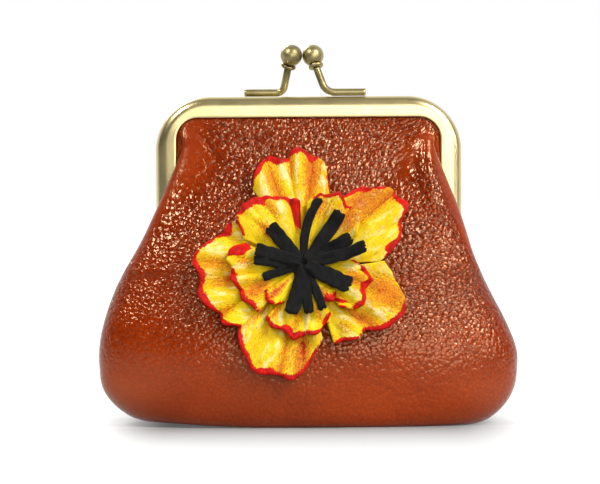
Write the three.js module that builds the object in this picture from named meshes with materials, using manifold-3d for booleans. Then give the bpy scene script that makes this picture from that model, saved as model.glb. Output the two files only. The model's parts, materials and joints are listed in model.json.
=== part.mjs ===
// Kiss-lock coin purse: a boxed leather bag on a hinged brass frame, with a leather flower on its front.
// Millimetres. +X is the viewer's right, +Y points away from the viewer, +Z is up, the purse stands on z = 0.

import * as THREE from 'three';
import { ParametricGeometry } from 'three/addons/geometries/ParametricGeometry.js';
import { mergeGeometries, mergeVertices } from 'three/addons/utils/BufferGeometryUtils.js';
import Module from 'manifold-3d';

const wasm = await Module();
wasm.setup();

// Clearances
const SEAT_GAP = 0.3;
const CLOSING_GAP = 0.5;
const SEAM_GAP = 0.4;
const RIVET_CLEARANCE = 0.1;

// Sheet materials
const LEATHER = 1.0;
const LINING = 0.4;
const LINING_INSET = 1.4;
const CORD_DIAMETER = 1.15;

// Frame
const FRAME_WIDTH = 85;
const FRAME_TOP = 91;
const BAR_HEIGHT = 5.8;
const CHANNEL_WALL = 0.7;
const CHANNEL_ROUND = 1.5;
const CORNER_RADIUS = 13;
const HEM_DEPTH = 4.0;

// Hinge
const HINGE_HEIGHT = 45;
const ARM_END_RISE = 5;
const EAR_THICKNESS = 0.8;
const EAR_RADIUS = 2.6;
const EAR_OVERLAP = 2;
const EAR_SETBACK = 1.8;
const EAR_SPACING = 0.5;
const RIVET_RADIUS = 1.0;
const RIVET_HEAD_RADIUS = 1.9;
const RIVET_HEAD_HEIGHT = 0.7;

// Knobs
const KNOB_SHIFT = -1.6;
const BALL_DIAMETER = 5.7;
const BALL_SPACING = 6.0;
const BALL_RISE = 11.5;
const BALL_SEAT_RADIUS = 1.6;
const BALL_LEAN = 0.8;
const COLLAR_RADIUS = 1.9;
const COLLAR_HEIGHT = 0.9;
const STEM_DIAMETER = 1.6;
const STEM_FOOT_END = 17;
const STEM_BEND = 7.6;
const STEM_TOP_OFFSET = 4.6;

// Bag
const BAG_WIDTH = 116;
const BAG_DEPTH = 47;
const BELLY_HEIGHT = 21;
const BASE_WIDTH = 88;
const BASE_DEPTH = 35;
const BASE_SEAM_WIDTH = 76;
const SEAM_VALLEY = 1.5;

// Flower
const FLOWER_X = -1.4;
const FLOWER_HEIGHT = 43.6;
const PETAL = 0.9;
const PETAL_ROOT = 3.5;
const OUTER_REACH = 33;
const INNER_REACH = 22;
const SMALL_REACH = 14;
const OUTER_PETAL_CUP = 3.0;
const INNER_PETAL_CUP = 2.4;
const BACKING_RADIUS = 11;
const BACKING = 0.6;
const CORE_RADIUS = 4.0;
const CORE_HEIGHT = 2.2;
const STAMEN = 1.1;
const STAMEN_WIDTH = 4.6;
const STAMEN_REACH = 16.6;
const STAMEN_LIFT = 3.2;

// Petals by eye: [direction in degrees, half spread in degrees, share of the ring's reach]
const OUTER_PETALS = [[97, 26, 0.97], [31, 28, 1], [-33, 33, 0.91], [253, 27.5, 0.955], [187, 37, 0.925]];
const INNER_PETALS = [[125, 29, 1], [58, 29, 0.98], [-22, 25, 0.865], [264, 28, 0.91], [190, 31, 0.93]];
const SMALL_PETALS = [[229, 11, 1], [-52, 9, 0.82]];

// Stamens by eye: [direction in degrees, share of the widest, share of the longest]
const STAMENS = [
  [80, 0.46, 1], [51, 0.7, 0.965], [29, 0.59, 0.84], [11, 0.59, 1],
  [-28, 1, 0.82], [-66, 0.37, 0.8], [-87, 0.48, 0.8], [-103, 0.78, 0.845],
  [196, 0.37, 0.69], [179, 0.39, 0.8], [162, 0.74, 0.79], [135, 0.74, 0.79],
];

// Sizes that follow from the ones above
const CHANNEL_DEPTH = 2 * CHANNEL_WALL + LEATHER + CORD_DIAMETER + 3 * SEAT_GAP;
const CHANNEL_BACK = CLOSING_GAP / 2;
const CHANNEL_FRONT = CHANNEL_BACK + CHANNEL_DEPTH;
const CHANNEL_MIDDLE = (CHANNEL_BACK + CHANNEL_FRONT) / 2;
const FRAME_HALF = FRAME_WIDTH / 2;
const INNER_HALF = FRAME_HALF - BAR_HEIGHT;
const EDGE_INSET = BAR_HEIGHT + SEAT_GAP + LEATHER / 2;
const EDGE_HALF = FRAME_HALF - EDGE_INSET;
const RIM_HEIGHT = FRAME_TOP - EDGE_INSET;
const RIM_DEPTH = CHANNEL_FRONT + SEAT_GAP + LEATHER / 2;
const CORNER_X = FRAME_HALF - CORNER_RADIUS;
const CORNER_Z = FRAME_TOP - CORNER_RADIUS;
const EDGE_CORNER_RADIUS = CORNER_RADIUS - EDGE_INSET;
const ARM_END = HINGE_HEIGHT + ARM_END_RISE;
const FILLING_END = ARM_END + EAR_OVERLAP + SEAT_GAP;
const FRONT_EAR_X = INNER_HALF + EAR_SETBACK;
const REAR_EAR_X = FRONT_EAR_X + EAR_THICKNESS + EAR_SPACING;
const LINING_EDGE_INSET = LINING_INSET + LINING / 2;

// Shape of the petals and of the leather loft: shares of their own outline or section, not sizes
const PETAL_CORNER_ROUND = 0.2;
const PETAL_ROOT_SPREAD = 0.75;
const SECTION_POWER = 2.4;
const FOLD_SHARE = 0.4;
const SHOULDER_EASE = 0.1;
const DEPTH_POWER = 1.5;
const RIM_CROWDING = 1.6;
const FOLD_TURN_HEIGHT = 0.5;
const FOLD_ROUND_START = 0.5;
const FOLD_ROUND_END = 1.2;

// Facets
const ACROSS = 24;
const FRONT_CELLS = 8;
const BASE_ROWS = 2;
const LOWER_ROWS = 4;
const UPPER_ROWS = 8;
const PANEL_ROWS = BASE_ROWS + LOWER_ROWS + UPPER_ROWS;
const PETAL_CELLS = 6;
const STAMEN_CELLS = 4;
const CHANNEL_ROUND_SEGMENTS = 3;
const EAR_SEGMENTS = 8;
const CORD_SEGMENTS = 4;
const STEM_SEGMENTS = 5;
const STEM_STEPS = 14;
const TURNED_SIDES = 16;
const BALL_STEPS = 9;
const CORE_STEPS = 4;

const materials = {
  leather: new THREE.MeshStandardMaterial({ color: 0x9c3f1c, roughness: 0.42, metalness: 0 }),
  lining: new THREE.MeshStandardMaterial({ color: 0x4a2a1c, roughness: 0.9, metalness: 0 }),
  brass: new THREE.MeshStandardMaterial({ color: 0xa08f5c, roughness: 0.32, metalness: 1 }),
  patina: new THREE.MeshStandardMaterial({ color: 0x7d6a3c, roughness: 0.3, metalness: 1 }),
  paper: new THREE.MeshStandardMaterial({ color: 0xb79b72, roughness: 0.95, metalness: 0 }),
  petal: new THREE.MeshStandardMaterial({ color: 0xf2c21a, roughness: 0.45, metalness: 0 }),
  suede: new THREE.MeshStandardMaterial({ color: 0x121214, roughness: 0.95, metalness: 0 }),
};

// A smooth step from 0 to 1 while value goes from start to end
function ease(value, start, end) {
  const t = THREE.MathUtils.clamp((value - start) / (end - start), 0, 1);
  return t * t * (3 - 2 * t);
}

// A geometry with shared corners, no empty triangles and its faces pointing out
function welded(geometry) {
  const bare = geometry.clone();
  bare.deleteAttribute('normal');
  bare.deleteAttribute('uv');
  const merged = mergeVertices(bare);
  const index = merged.getIndex();
  const position = merged.getAttribute('position');
  const corner = [new THREE.Vector3(), new THREE.Vector3(), new THREE.Vector3()];
  const kept = [];
  let volume = 0;
  for (let i = 0; i < index.count; i += 3) {
    const ids = [index.getX(i), index.getX(i + 1), index.getX(i + 2)];
    if (new Set(ids).size < 3) continue;
    ids.forEach((id, n) => corner[n].fromBufferAttribute(position, id));
    volume += corner[0].dot(corner[1].clone().cross(corner[2]));
    kept.push(...ids);
  }
  merged.setIndex(volume < 0 ? kept.reverse() : kept);
  return merged;
}

// Boolean joins and cuts
function solid(geometry) {
  const ready = welded(geometry);
  return new wasm.Manifold(new wasm.Mesh({
    numProp: 3,
    vertProperties: new Float32Array(ready.getAttribute('position').array),
    triVerts: new Uint32Array(ready.getIndex().array),
  }));
}

function fromSolid(body) {
  const mesh = body.getMesh();
  const geometry = new THREE.BufferGeometry();
  geometry.setAttribute('position', new THREE.BufferAttribute(new Float32Array(mesh.vertProperties), 3));
  geometry.setIndex(new THREE.BufferAttribute(new Uint32Array(mesh.triVerts), 1));
  return geometry;
}

// A closed sheet of even thickness around the surface (u, v) -> point, both from 0 to 1
function closedSheet(surface, thickness, columns, rows) {
  const step = 1e-5;
  const across = new THREE.Vector3();
  const along = new THREE.Vector3();
  const before = new THREE.Vector3();
  const offset = (u, v, distance, target) => {
    const s = THREE.MathUtils.clamp(u, 0, 1);
    const t = THREE.MathUtils.clamp(v, 0, 1);
    const s0 = Math.max(s - step, 0);
    const t0 = Math.max(t - step, 0);
    surface(s0 + step, t, across);
    surface(s0, t, before);
    across.sub(before);
    surface(s, t0 + step, along);
    surface(s, t0, before);
    along.sub(before);
    surface(s, t, target);
    target.addScaledVector(across.cross(along).normalize(), distance);
  };
  const half = thickness / 2;
  const face = (side) => new ParametricGeometry(
    (u, v, target) => offset(side > 0 ? u : 1 - u, v, side * half, target), columns, rows);
  const edge = (place, cells) => new ParametricGeometry(
    (u, v, target) => offset(...place(u), (1 - 2 * v) * half, target), cells, 1);
  return welded(mergeGeometries([
    face(1),
    face(-1),
    edge((u) => [1 - u, 0], columns),
    edge((u) => [u, 1], columns),
    edge((u) => [0, u], rows),
    edge((u) => [1, 1 - u], rows),
  ]));
}

// The frame's outer edge from the right arm's end, over the top bar, to the left arm's end
class FrameEdge extends THREE.Curve {
  static ARM_STEPS = 2;
  static CORNER_STEPS = 6;
  static BAR_STEPS = 4;
  static STEPS = 2 * FrameEdge.ARM_STEPS + 2 * FrameEdge.CORNER_STEPS + FrameEdge.BAR_STEPS;

  constructor(end) {
    super();
    this.end = end;
  }

  getUtoTmapping(u) {
    return u;
  }

  getPoint(t, target = new THREE.Vector3()) {
    const step = t * FrameEdge.STEPS;
    const half = FrameEdge.STEPS / 2;
    const side = step < half ? 1 : -1;
    const fromEnd = Math.min(step, FrameEdge.STEPS - step);
    const cornerStart = FrameEdge.ARM_STEPS;
    const barStart = cornerStart + FrameEdge.CORNER_STEPS;
    if (fromEnd < cornerStart) {
      const z = THREE.MathUtils.lerp(this.end, CORNER_Z, fromEnd / cornerStart);
      return target.set(side * FRAME_HALF, 0, z);
    }
    if (fromEnd < barStart) {
      const angle = (fromEnd - cornerStart) / FrameEdge.CORNER_STEPS * Math.PI / 2;
      const x = CORNER_X + CORNER_RADIUS * Math.cos(angle);
      return target.set(side * x, 0, CORNER_Z + CORNER_RADIUS * Math.sin(angle));
    }
    const share = (fromEnd - barStart) / (half - barStart);
    return target.set(side * CORNER_X * (1 - share), 0, FRAME_TOP);
  }
}

// A section along the frame: x is forward of the closing plane, y is minus the distance in from the outer edge
function alongFrame(section, end, curveSegments) {
  const path = new FrameEdge(end);
  return new THREE.ExtrudeGeometry(section, { steps: FrameEdge.STEPS, extrudePath: path, curveSegments });
}

function circle(radius) {
  const shape = new THREE.Shape();
  shape.absarc(0, 0, radius, 0, 2 * Math.PI);
  return shape;
}

// The stamped channel, open towards the inside of the U, with a riveted ear at each arm's end
function frameChannel(earX) {
  const section = new THREE.Shape();
  const round = CHANNEL_ROUND;
  section.moveTo(CHANNEL_BACK, -BAR_HEIGHT);
  section.lineTo(CHANNEL_BACK + CHANNEL_WALL, -BAR_HEIGHT);
  section.lineTo(CHANNEL_BACK + CHANNEL_WALL, -CHANNEL_WALL);
  section.lineTo(CHANNEL_FRONT - CHANNEL_WALL, -CHANNEL_WALL);
  section.lineTo(CHANNEL_FRONT - CHANNEL_WALL, -BAR_HEIGHT);
  section.lineTo(CHANNEL_FRONT, -BAR_HEIGHT);
  section.absarc(CHANNEL_FRONT - round, -round, round, 0, Math.PI / 2);
  section.absarc(CHANNEL_BACK + round / 2, -round / 2, round / 2, Math.PI / 2, Math.PI);
  section.closePath();
  const channel = solid(alongFrame(section, ARM_END, CHANNEL_ROUND_SEGMENTS));

  const ear = new THREE.Shape();
  const earFront = -(CHANNEL_FRONT - CHANNEL_WALL / 2);
  const earBack = -(CHANNEL_BACK + CHANNEL_WALL / 2);
  ear.moveTo(earFront, ARM_END + EAR_OVERLAP);
  ear.lineTo(earFront, ARM_END);
  ear.absarc(0, HINGE_HEIGHT, EAR_RADIUS, Math.PI, 2 * Math.PI);
  ear.lineTo(earBack, ARM_END);
  ear.lineTo(earBack, ARM_END + EAR_OVERLAP);
  ear.closePath();
  const eye = new THREE.Path();
  eye.absarc(0, HINGE_HEIGHT, RIVET_RADIUS + RIVET_CLEARANCE, 0, 2 * Math.PI);
  ear.holes.push(eye);
  const plate = { depth: EAR_THICKNESS, bevelEnabled: false, curveSegments: EAR_SEGMENTS };
  const earPlate = new THREE.ExtrudeGeometry(ear, plate);
  const xAxis = new THREE.Vector3(1, 0, 0);
  const yAxis = new THREE.Vector3(0, 1, 0);
  const zAxis = new THREE.Vector3(0, 0, 1);
  earPlate.applyMatrix4(new THREE.Matrix4().makeBasis(yAxis, zAxis, xAxis));
  const right = solid(earPlate.clone().translate(earX, 0, 0));
  const left = solid(earPlate.clone().translate(-earX - EAR_THICKNESS, 0, 0));
  return fromSolid(channel.add(right).add(left));
}

// The leather's edge inside the channel, with a lip that turns forward to the panel
function hem() {
  const front = CHANNEL_FRONT - CHANNEL_WALL - SEAT_GAP;
  const lipStart = BAR_HEIGHT + SEAT_GAP;
  const section = new THREE.Shape();
  section.moveTo(front, -(BAR_HEIGHT - HEM_DEPTH));
  section.lineTo(front - LEATHER, -(BAR_HEIGHT - HEM_DEPTH));
  section.lineTo(front - LEATHER, -(lipStart + LEATHER));
  section.lineTo(CHANNEL_FRONT, -(lipStart + LEATHER));
  section.lineTo(CHANNEL_FRONT, -lipStart);
  section.lineTo(front, -lipStart);
  section.closePath();
  return alongFrame(section, FILLING_END, 1);
}

// The paper cord that wedges the hem in the channel
function paperCord() {
  const radius = CORD_DIAMETER / 2;
  const section = new THREE.Shape();
  const middle = -(CHANNEL_WALL + SEAT_GAP + radius);
  section.absarc(CHANNEL_BACK + CHANNEL_WALL + SEAT_GAP + radius, middle, radius, 0, 2 * Math.PI);
  return alongFrame(section, FILLING_END, CORD_SEGMENTS);
}

// A rivet along X through both ears, with a domed head at each end
function hingeRivet() {
  const start = FRONT_EAR_X - SEAT_GAP;
  const end = REAR_EAR_X + EAR_THICKNESS + SEAT_GAP;
  const rim = RIVET_HEAD_HEIGHT / 2;
  const profile = [
    [0, start - RIVET_HEAD_HEIGHT],
    [RIVET_HEAD_RADIUS / 2, start - RIVET_HEAD_HEIGHT],
    [RIVET_HEAD_RADIUS, start - rim],
    [RIVET_HEAD_RADIUS, start],
    [RIVET_RADIUS, start],
    [RIVET_RADIUS, end],
    [RIVET_HEAD_RADIUS, end],
    [RIVET_HEAD_RADIUS, end + rim],
    [RIVET_HEAD_RADIUS / 2, end + RIVET_HEAD_HEIGHT],
    [0, end + RIVET_HEAD_HEIGHT],
  ].map(([radius, height]) => new THREE.Vector2(radius, height));
  const geometry = new THREE.LatheGeometry(profile, TURNED_SIDES);
  return geometry.rotateZ(-Math.PI / 2).translate(0, 0, HINGE_HEIGHT);
}

// Where the front half's knob stands: the ball's middle, and the way from the stem's top to it
const ballRadius = BALL_DIAMETER / 2;
const ballSeat = Math.sqrt(ballRadius ** 2 - BALL_SEAT_RADIUS ** 2);
const ballMiddle = new THREE.Vector3(BALL_SPACING / 2, BALL_LEAN, FRAME_TOP + BALL_RISE);
const knobRoot = new THREE.Vector3(STEM_TOP_OFFSET, -CHANNEL_MIDDLE / 2, FRAME_TOP + BALL_RISE / 2);
const knobAxis = ballMiddle.clone().sub(knobRoot).normalize();
const collarMiddle = ballMiddle.clone().addScaledVector(knobAxis, -(ballSeat + SEAT_GAP + COLLAR_HEIGHT / 2));
const stemTop = collarMiddle.clone().addScaledVector(knobAxis, -(COLLAR_HEIGHT / 2 + SEAT_GAP));

function turnedOnKnob(profile, place) {
  const points = profile.map(([radius, height]) => new THREE.Vector2(radius, height));
  const up = new THREE.Vector3(0, 1, 0);
  const turn = new THREE.Quaternion().setFromUnitVectors(up, knobAxis);
  const turned = new THREE.LatheGeometry(points, TURNED_SIDES).applyQuaternion(turn);
  return turned.translate(place.x, place.y, place.z);
}

function knobBall() {
  const low = Math.asin(-ballSeat / ballRadius);
  const profile = [[0, -ballSeat]];
  for (let i = 0; i < BALL_STEPS; i += 1) {
    const angle = THREE.MathUtils.lerp(low, Math.PI / 2, i / BALL_STEPS);
    profile.push([ballRadius * Math.cos(angle), ballRadius * Math.sin(angle)]);
  }
  profile.push([0, ballRadius]);
  return turnedOnKnob(profile, ballMiddle);
}

function knobCollar() {
  const half = COLLAR_HEIGHT / 2;
  const bevel = COLLAR_HEIGHT / 4;
  const profile = [
    [0, -half],
    [COLLAR_RADIUS - bevel, -half],
    [COLLAR_RADIUS, -half + bevel],
    [COLLAR_RADIUS, half - bevel],
    [COLLAR_RADIUS - bevel, half],
    [0, half],
  ];
  return turnedOnKnob(profile, collarMiddle);
}

// A bent wire: its foot lies on the top bar and its end carries the collar
function knobStem() {
  const radius = STEM_DIAMETER / 2;
  const footZ = FRAME_TOP + SEAT_GAP + radius;
  const rise = stemTop.z - footZ;
  const foot = (x) => new THREE.Vector3(x, -CHANNEL_MIDDLE, footZ);
  const below = stemTop.clone().addScaledVector(knobAxis, -rise / 2);
  const route = new THREE.CatmullRomCurve3([
    foot(STEM_FOOT_END),
    foot((STEM_FOOT_END + STEM_BEND) / 2),
    foot(STEM_BEND),
    below,
    stemTop,
  ], false, 'centripetal');
  const sweep = { steps: STEM_STEPS, extrudePath: route, curveSegments: STEM_SEGMENTS };
  return new THREE.ExtrudeGeometry(circle(radius), sweep);
}

// Half width and half depth of the bag's leather at a height
function bagLevel(z) {
  const floor = LEATHER / 2;
  if (z < BELLY_HEIGHT) {
    const fall = 1 - (z - floor) / (BELLY_HEIGHT - floor);
    const spread = Math.sqrt(Math.max(1 - fall * fall, 0));
    return {
      width: THREE.MathUtils.lerp(BASE_WIDTH / 2, BAG_WIDTH / 2, spread),
      depth: THREE.MathUtils.lerp(BASE_DEPTH / 2, BAG_DEPTH / 2, spread),
    };
  }
  const rise = THREE.MathUtils.clamp((z - BELLY_HEIGHT) / (RIM_HEIGHT - BELLY_HEIGHT), 0, 1);
  const eased = Math.hypot(rise, SHOULDER_EASE) - SHOULDER_EASE;
  const narrowing = eased / (Math.hypot(1, SHOULDER_EASE) - SHOULDER_EASE);
  return {
    width: THREE.MathUtils.lerp(BAG_WIDTH / 2, CORNER_X - LEATHER / 2, narrowing),
    depth: THREE.MathUtils.lerp(BAG_DEPTH / 2, RIM_DEPTH, rise ** DEPTH_POWER),
  };
}

// Half width of the leather's free edge: the side seam low down, the frame's inside higher up
function edgeHalfWidth(z, width) {
  const aboveCorner = Math.max(z - CORNER_Z, 0);
  const roundIn = Math.sqrt(Math.max(EDGE_CORNER_RADIUS ** 2 - aboveCorner ** 2, 0));
  const inFrame = aboveCorner > 0 ? CORNER_X + roundIn : EDGE_HALF;
  return THREE.MathUtils.lerp(width - SEAM_VALLEY, inFrame, ease(z, BELLY_HEIGHT / 2, HINGE_HEIGHT));
}

// The closing of the side seam below the hinge: 0 where it is sewn, 1 where the frame parts the panels
function parting(z) {
  return ease(z, HINGE_HEIGHT - 4 * EAR_RADIUS, HINGE_HEIGHT - EAR_RADIUS / 2);
}

// The front half of the bag as a surface: u across from left to right, v from the bottom seam up to the rim
function bagSurface({ inset, edgeInset, drop }) {
  const floor = LEATHER / 2 + inset;
  const top = RIM_HEIGHT - drop;
  const seamDepth = (LEATHER + SEAM_GAP) / 2 + inset;
  const foldStart = FRONT_CELLS / (ACROSS / 2);
  return (u, v, target) => {
    const row = v * PANEL_ROWS;
    const side = Math.sign(u - 0.5) || 1;
    const s = Math.abs(2 * u - 1);
    let z = floor;
    let spread = 1;
    if (row < BASE_ROWS) {
      spread = row / BASE_ROWS;
    } else if (row < BASE_ROWS + LOWER_ROWS) {
      const turn = (row - BASE_ROWS) / LOWER_ROWS * Math.PI / 2;
      z = THREE.MathUtils.lerp(floor, BELLY_HEIGHT, 1 - Math.cos(turn));
    } else {
      const climb = (row - BASE_ROWS - LOWER_ROWS) / UPPER_ROWS;
      z = THREE.MathUtils.lerp(BELLY_HEIGHT, top, 1 - (1 - climb) ** RIM_CROWDING);
    }
    const level = bagLevel(z - inset * (z < BELLY_HEIGHT ? 1 - (z - floor) / (BELLY_HEIGHT - floor) : 0));
    const width = THREE.MathUtils.lerp(BASE_SEAM_WIDTH / 2, level.width, spread) - inset;
    const depth = THREE.MathUtils.lerp(SEAM_GAP / 2, level.depth - inset, spread);
    const foldTurn = THREE.MathUtils.lerp(HINGE_HEIGHT, RIM_HEIGHT, FOLD_TURN_HEIGHT);
    const inFold = 1 - 2 * ease(z, foldTurn, CORNER_Z);
    const framed = RIM_DEPTH + inset * inFold;
    const edgeDepth = Math.min(THREE.MathUtils.lerp(seamDepth, framed, parting(z)), depth);
    const sewn = edgeHalfWidth(z, level.width) - edgeInset;
    const edgeWidth = THREE.MathUtils.lerp(BASE_SEAM_WIDTH / 2 + SEAM_VALLEY, sewn, spread);
    const middle = THREE.MathUtils.lerp(edgeDepth, depth, FOLD_SHARE);
    if (s <= foldStart) {
      const angle = s / foldStart * Math.PI / 2;
      const x = width * Math.sin(angle) ** (2 / SECTION_POWER);
      const y = middle + (depth - middle) * Math.max(Math.cos(angle), 0) ** (2 / SECTION_POWER);
      return target.set(side * x, -y, z);
    }
    const w = (s - foldStart) / (1 - foldStart);
    const overhang = (width - edgeWidth) / (middle - edgeDepth + LEATHER);
    const roundness = ease(overhang, FOLD_ROUND_START, FOLD_ROUND_END);
    const inwards = THREE.MathUtils.lerp(w * w, 1 - Math.cos(w * Math.PI / 2), roundness);
    const backwards = THREE.MathUtils.lerp(w, Math.sin(w * Math.PI / 2), roundness);
    const x = THREE.MathUtils.lerp(width, edgeWidth, inwards);
    return target.set(side * x, -THREE.MathUtils.lerp(middle, edgeDepth, backwards), z);
  };
}

function leatherPanel() {
  const surface = bagSurface({ inset: 0, edgeInset: 0, drop: 0 });
  return closedSheet(surface, LEATHER, ACROSS, PANEL_ROWS);
}

function liningPanel() {
  const surface = bagSurface({ inset: LINING_INSET, edgeInset: LINING_EDGE_INSET, drop: LINING_INSET });
  return closedSheet(surface, LINING, ACROSS, PANEL_ROWS);
}

// The front leather's depth at a place on the front
function frontDepth(x, z) {
  const { width, depth } = bagLevel(z);
  const edgeDepth = THREE.MathUtils.lerp((LEATHER + SEAM_GAP) / 2, RIM_DEPTH, parting(z));
  const middle = THREE.MathUtils.lerp(edgeDepth, depth, FOLD_SHARE);
  const share = Math.min(Math.abs(x) / width, 1) ** SECTION_POWER;
  return -(middle + (depth - middle) * (1 - share) ** (1 / SECTION_POWER));
}

// The flower's own up-right-out directions, from the slope of the leather at its middle
const slopeStep = LEATHER;
const depthAbove = frontDepth(FLOWER_X, FLOWER_HEIGHT + slopeStep);
const depthBelow = frontDepth(FLOWER_X, FLOWER_HEIGHT - slopeStep);
const slope = (depthAbove - depthBelow) / (2 * slopeStep);
const flowerOut = new THREE.Vector3(0, -1, slope).normalize();

// A point of the flower: polar place on the leather's front, and height off its outer face
function onFlower(radius, angle, height, target) {
  const x = FLOWER_X + radius * Math.cos(angle);
  const z = FLOWER_HEIGHT + radius * Math.sin(angle);
  return target.set(x, frontDepth(x, z), z).addScaledVector(flowerOut, LEATHER / 2 + height);
}

// Heights of the flower's layers off the leather, to the middle of each sheet
const backingHeight = SEAT_GAP + BACKING / 2;
const outerHeight = backingHeight + BACKING / 2 + SEAT_GAP + PETAL / 2;
const layerStep = PETAL + SEAT_GAP;
const innerHeight = outerHeight + layerStep;
const smallHeight = innerHeight + layerStep;
const coreHeight = smallHeight + PETAL / 2 + SEAT_GAP;
const stamenHeight = coreHeight + STAMEN / 2;
const outerLift = (radius) => OUTER_PETAL_CUP * (radius / OUTER_REACH) ** 2;
const innerLift = (radius) => outerLift(radius) + INNER_PETAL_CUP * (radius / INNER_REACH) ** 2;

// A fan-shaped petal with rounded outer corners, cupped away from the leather
function petal([direction, halfSpread, reachShare], ringReach, height, lift) {
  const middle = THREE.MathUtils.degToRad(direction);
  const half = THREE.MathUtils.degToRad(halfSpread);
  const surface = (u, v, target) => {
    const s = 2 * u - 1;
    const length = (reachShare * ringReach - PETAL_ROOT) * (1 - PETAL_CORNER_ROUND * Math.abs(s) ** 3);
    const radius = PETAL_ROOT + length * v;
    const angle = middle - s * half * THREE.MathUtils.lerp(PETAL_ROOT_SPREAD, 1, v);
    return onFlower(radius, angle, height + lift(radius), target);
  };
  return closedSheet(surface, PETAL, PETAL_CELLS, PETAL_CELLS);
}

// A suede strip that grows out of the core and lies over the petals, narrowed where its neighbours crowd it
function stamen([direction, widthShare, reachShare], room) {
  const middle = THREE.MathUtils.degToRad(direction);
  const root = CORE_RADIUS + SEAT_GAP;
  const surface = (u, v, target) => {
    const radius = THREE.MathUtils.lerp(root, reachShare * STAMEN_REACH, v);
    const halfWidth = Math.min(widthShare * STAMEN_WIDTH / 2, radius * Math.tan(room) - SEAT_GAP / 2);
    const angle = middle - (2 * u - 1) * Math.atan2(halfWidth, radius);
    const height = stamenHeight + innerLift(radius) + STAMEN_LIFT * (radius / INNER_REACH) ** 2;
    return onFlower(radius, angle, height, target);
  };
  return closedSheet(surface, STAMEN, 1, STAMEN_CELLS);
}

// Half the angle from one stamen to its nearer neighbour
function stamenRoom(index) {
  const turn = (angle) => ((angle % 360) + 360) % 360;
  const own = STAMENS[index][0];
  const apart = STAMENS.filter((_, i) => i !== index).map(([direction]) => {
    const gap = turn(direction - own);
    return Math.min(gap, 360 - gap);
  });
  return THREE.MathUtils.degToRad(Math.min(...apart) / 2);
}

// A disc of leather that follows the front panel, under the petals
function flowerBacking() {
  const surface = (u, v, target) => {
    const x = 2 * u - 1;
    const y = 2 * v - 1;
    const radius = BACKING_RADIUS * Math.max(Math.abs(x), Math.abs(y));
    return onFlower(radius, Math.atan2(y, -x), backingHeight, target);
  };
  return closedSheet(surface, BACKING, PETAL_CELLS, PETAL_CELLS);
}

function stamenCore() {
  const profile = [new THREE.Vector2(0, 0)];
  for (let i = 0; i < CORE_STEPS; i += 1) {
    const angle = i / CORE_STEPS * Math.PI / 2;
    profile.push(new THREE.Vector2(CORE_RADIUS * Math.cos(angle), CORE_HEIGHT * Math.sin(angle)));
  }
  profile.push(new THREE.Vector2(0, CORE_HEIGHT));
  const turn = new THREE.Quaternion().setFromUnitVectors(new THREE.Vector3(0, 1, 0), flowerOut);
  const base = onFlower(0, 0, coreHeight, new THREE.Vector3());
  const turned = new THREE.LatheGeometry(profile, TURNED_SIDES).applyQuaternion(turn);
  return turned.translate(base.x, base.y, base.z);
}

function mesh(name, geometry, material) {
  const part = new THREE.Mesh(welded(geometry), material);
  part.name = name;
  return part;
}

// One half of the frame, with what is fixed to it, as the front half stands
function frameHalf(name, earX) {
  const half = new THREE.Group();
  half.add(mesh(`${name}_frame_channel`, frameChannel(earX), materials.brass));
  half.add(mesh(`${name}_hem`, hem(), materials.leather));
  half.add(mesh(`${name}_paper_cord`, paperCord(), materials.paper));
  return half;
}

function knob(name) {
  const group = new THREE.Group();
  group.add(mesh(`${name}_knob_stem`, knobStem(), materials.patina));
  group.add(mesh(`${name}_knob_collar`, knobCollar(), materials.patina));
  group.add(mesh(`${name}_knob_ball`, knobBall(), materials.patina));
  group.position.x = KNOB_SHIFT;
  return group;
}

function bagHalf(name) {
  const half = new THREE.Group();
  half.add(mesh(`${name}_panel`, leatherPanel(), materials.leather));
  half.add(mesh(`${name}_lining`, liningPanel(), materials.lining));
  return half;
}

function flower() {
  const group = new THREE.Group();
  group.add(mesh('flower_backing', flowerBacking(), materials.leather));
  OUTER_PETALS.forEach((shape, i) => {
    const sheet = petal(shape, OUTER_REACH, outerHeight, outerLift);
    group.add(mesh(`outer_petal_${i + 1}`, sheet, materials.petal));
  });
  INNER_PETALS.forEach((shape, i) => {
    const sheet = petal(shape, INNER_REACH, innerHeight, innerLift);
    group.add(mesh(`inner_petal_${i + 1}`, sheet, materials.petal));
  });
  SMALL_PETALS.forEach((shape, i) => {
    const sheet = petal(shape, SMALL_REACH, smallHeight, innerLift);
    group.add(mesh(`small_petal_${i + 1}`, sheet, materials.petal));
  });
  group.add(mesh('stamen_core', stamenCore(), materials.suede));
  STAMENS.forEach((shape, i) => {
    group.add(mesh(`stamen_${i + 1}`, stamen(shape, stamenRoom(i)), materials.suede));
  });
  return group;
}

// The rear halves are the front ones turned about the vertical axis
function turnedToRear(group) {
  group.rotation.z = Math.PI;
  return group;
}

const purse = new THREE.Group();
purse.add(frameHalf('front', FRONT_EAR_X));
purse.add(turnedToRear(frameHalf('rear', REAR_EAR_X)));
purse.add(knob('front'));
purse.add(turnedToRear(knob('rear')));
purse.add(mesh('right_hinge_rivet', hingeRivet(), materials.patina));
purse.add(turnedToRear(mesh('left_hinge_rivet', hingeRivet(), materials.patina)));
purse.add(bagHalf('front'));
purse.add(turnedToRear(bagHalf('rear')));
purse.add(flower());

// The origin is the middle of the base's outline, so the flower's reach moves the purse back a little
purse.updateMatrixWorld(true);
const outline = new THREE.Box3().setFromObject(purse, true);
purse.position.y = -(outline.min.y + outline.max.y) / 2;

export default purse;
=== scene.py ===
"""Looks of a kiss-lock coin purse: a leather bag, a hinged brass frame and a painted leather flower.

Sizes are in millimetres until a mesh is made. Until then y = 0 is the plane where the two frame halves close,
and the rear half is the front half turned about the vertical axis.
"""

import json
import math

import bpy
import numpy as np
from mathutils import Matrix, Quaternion, Vector

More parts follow.
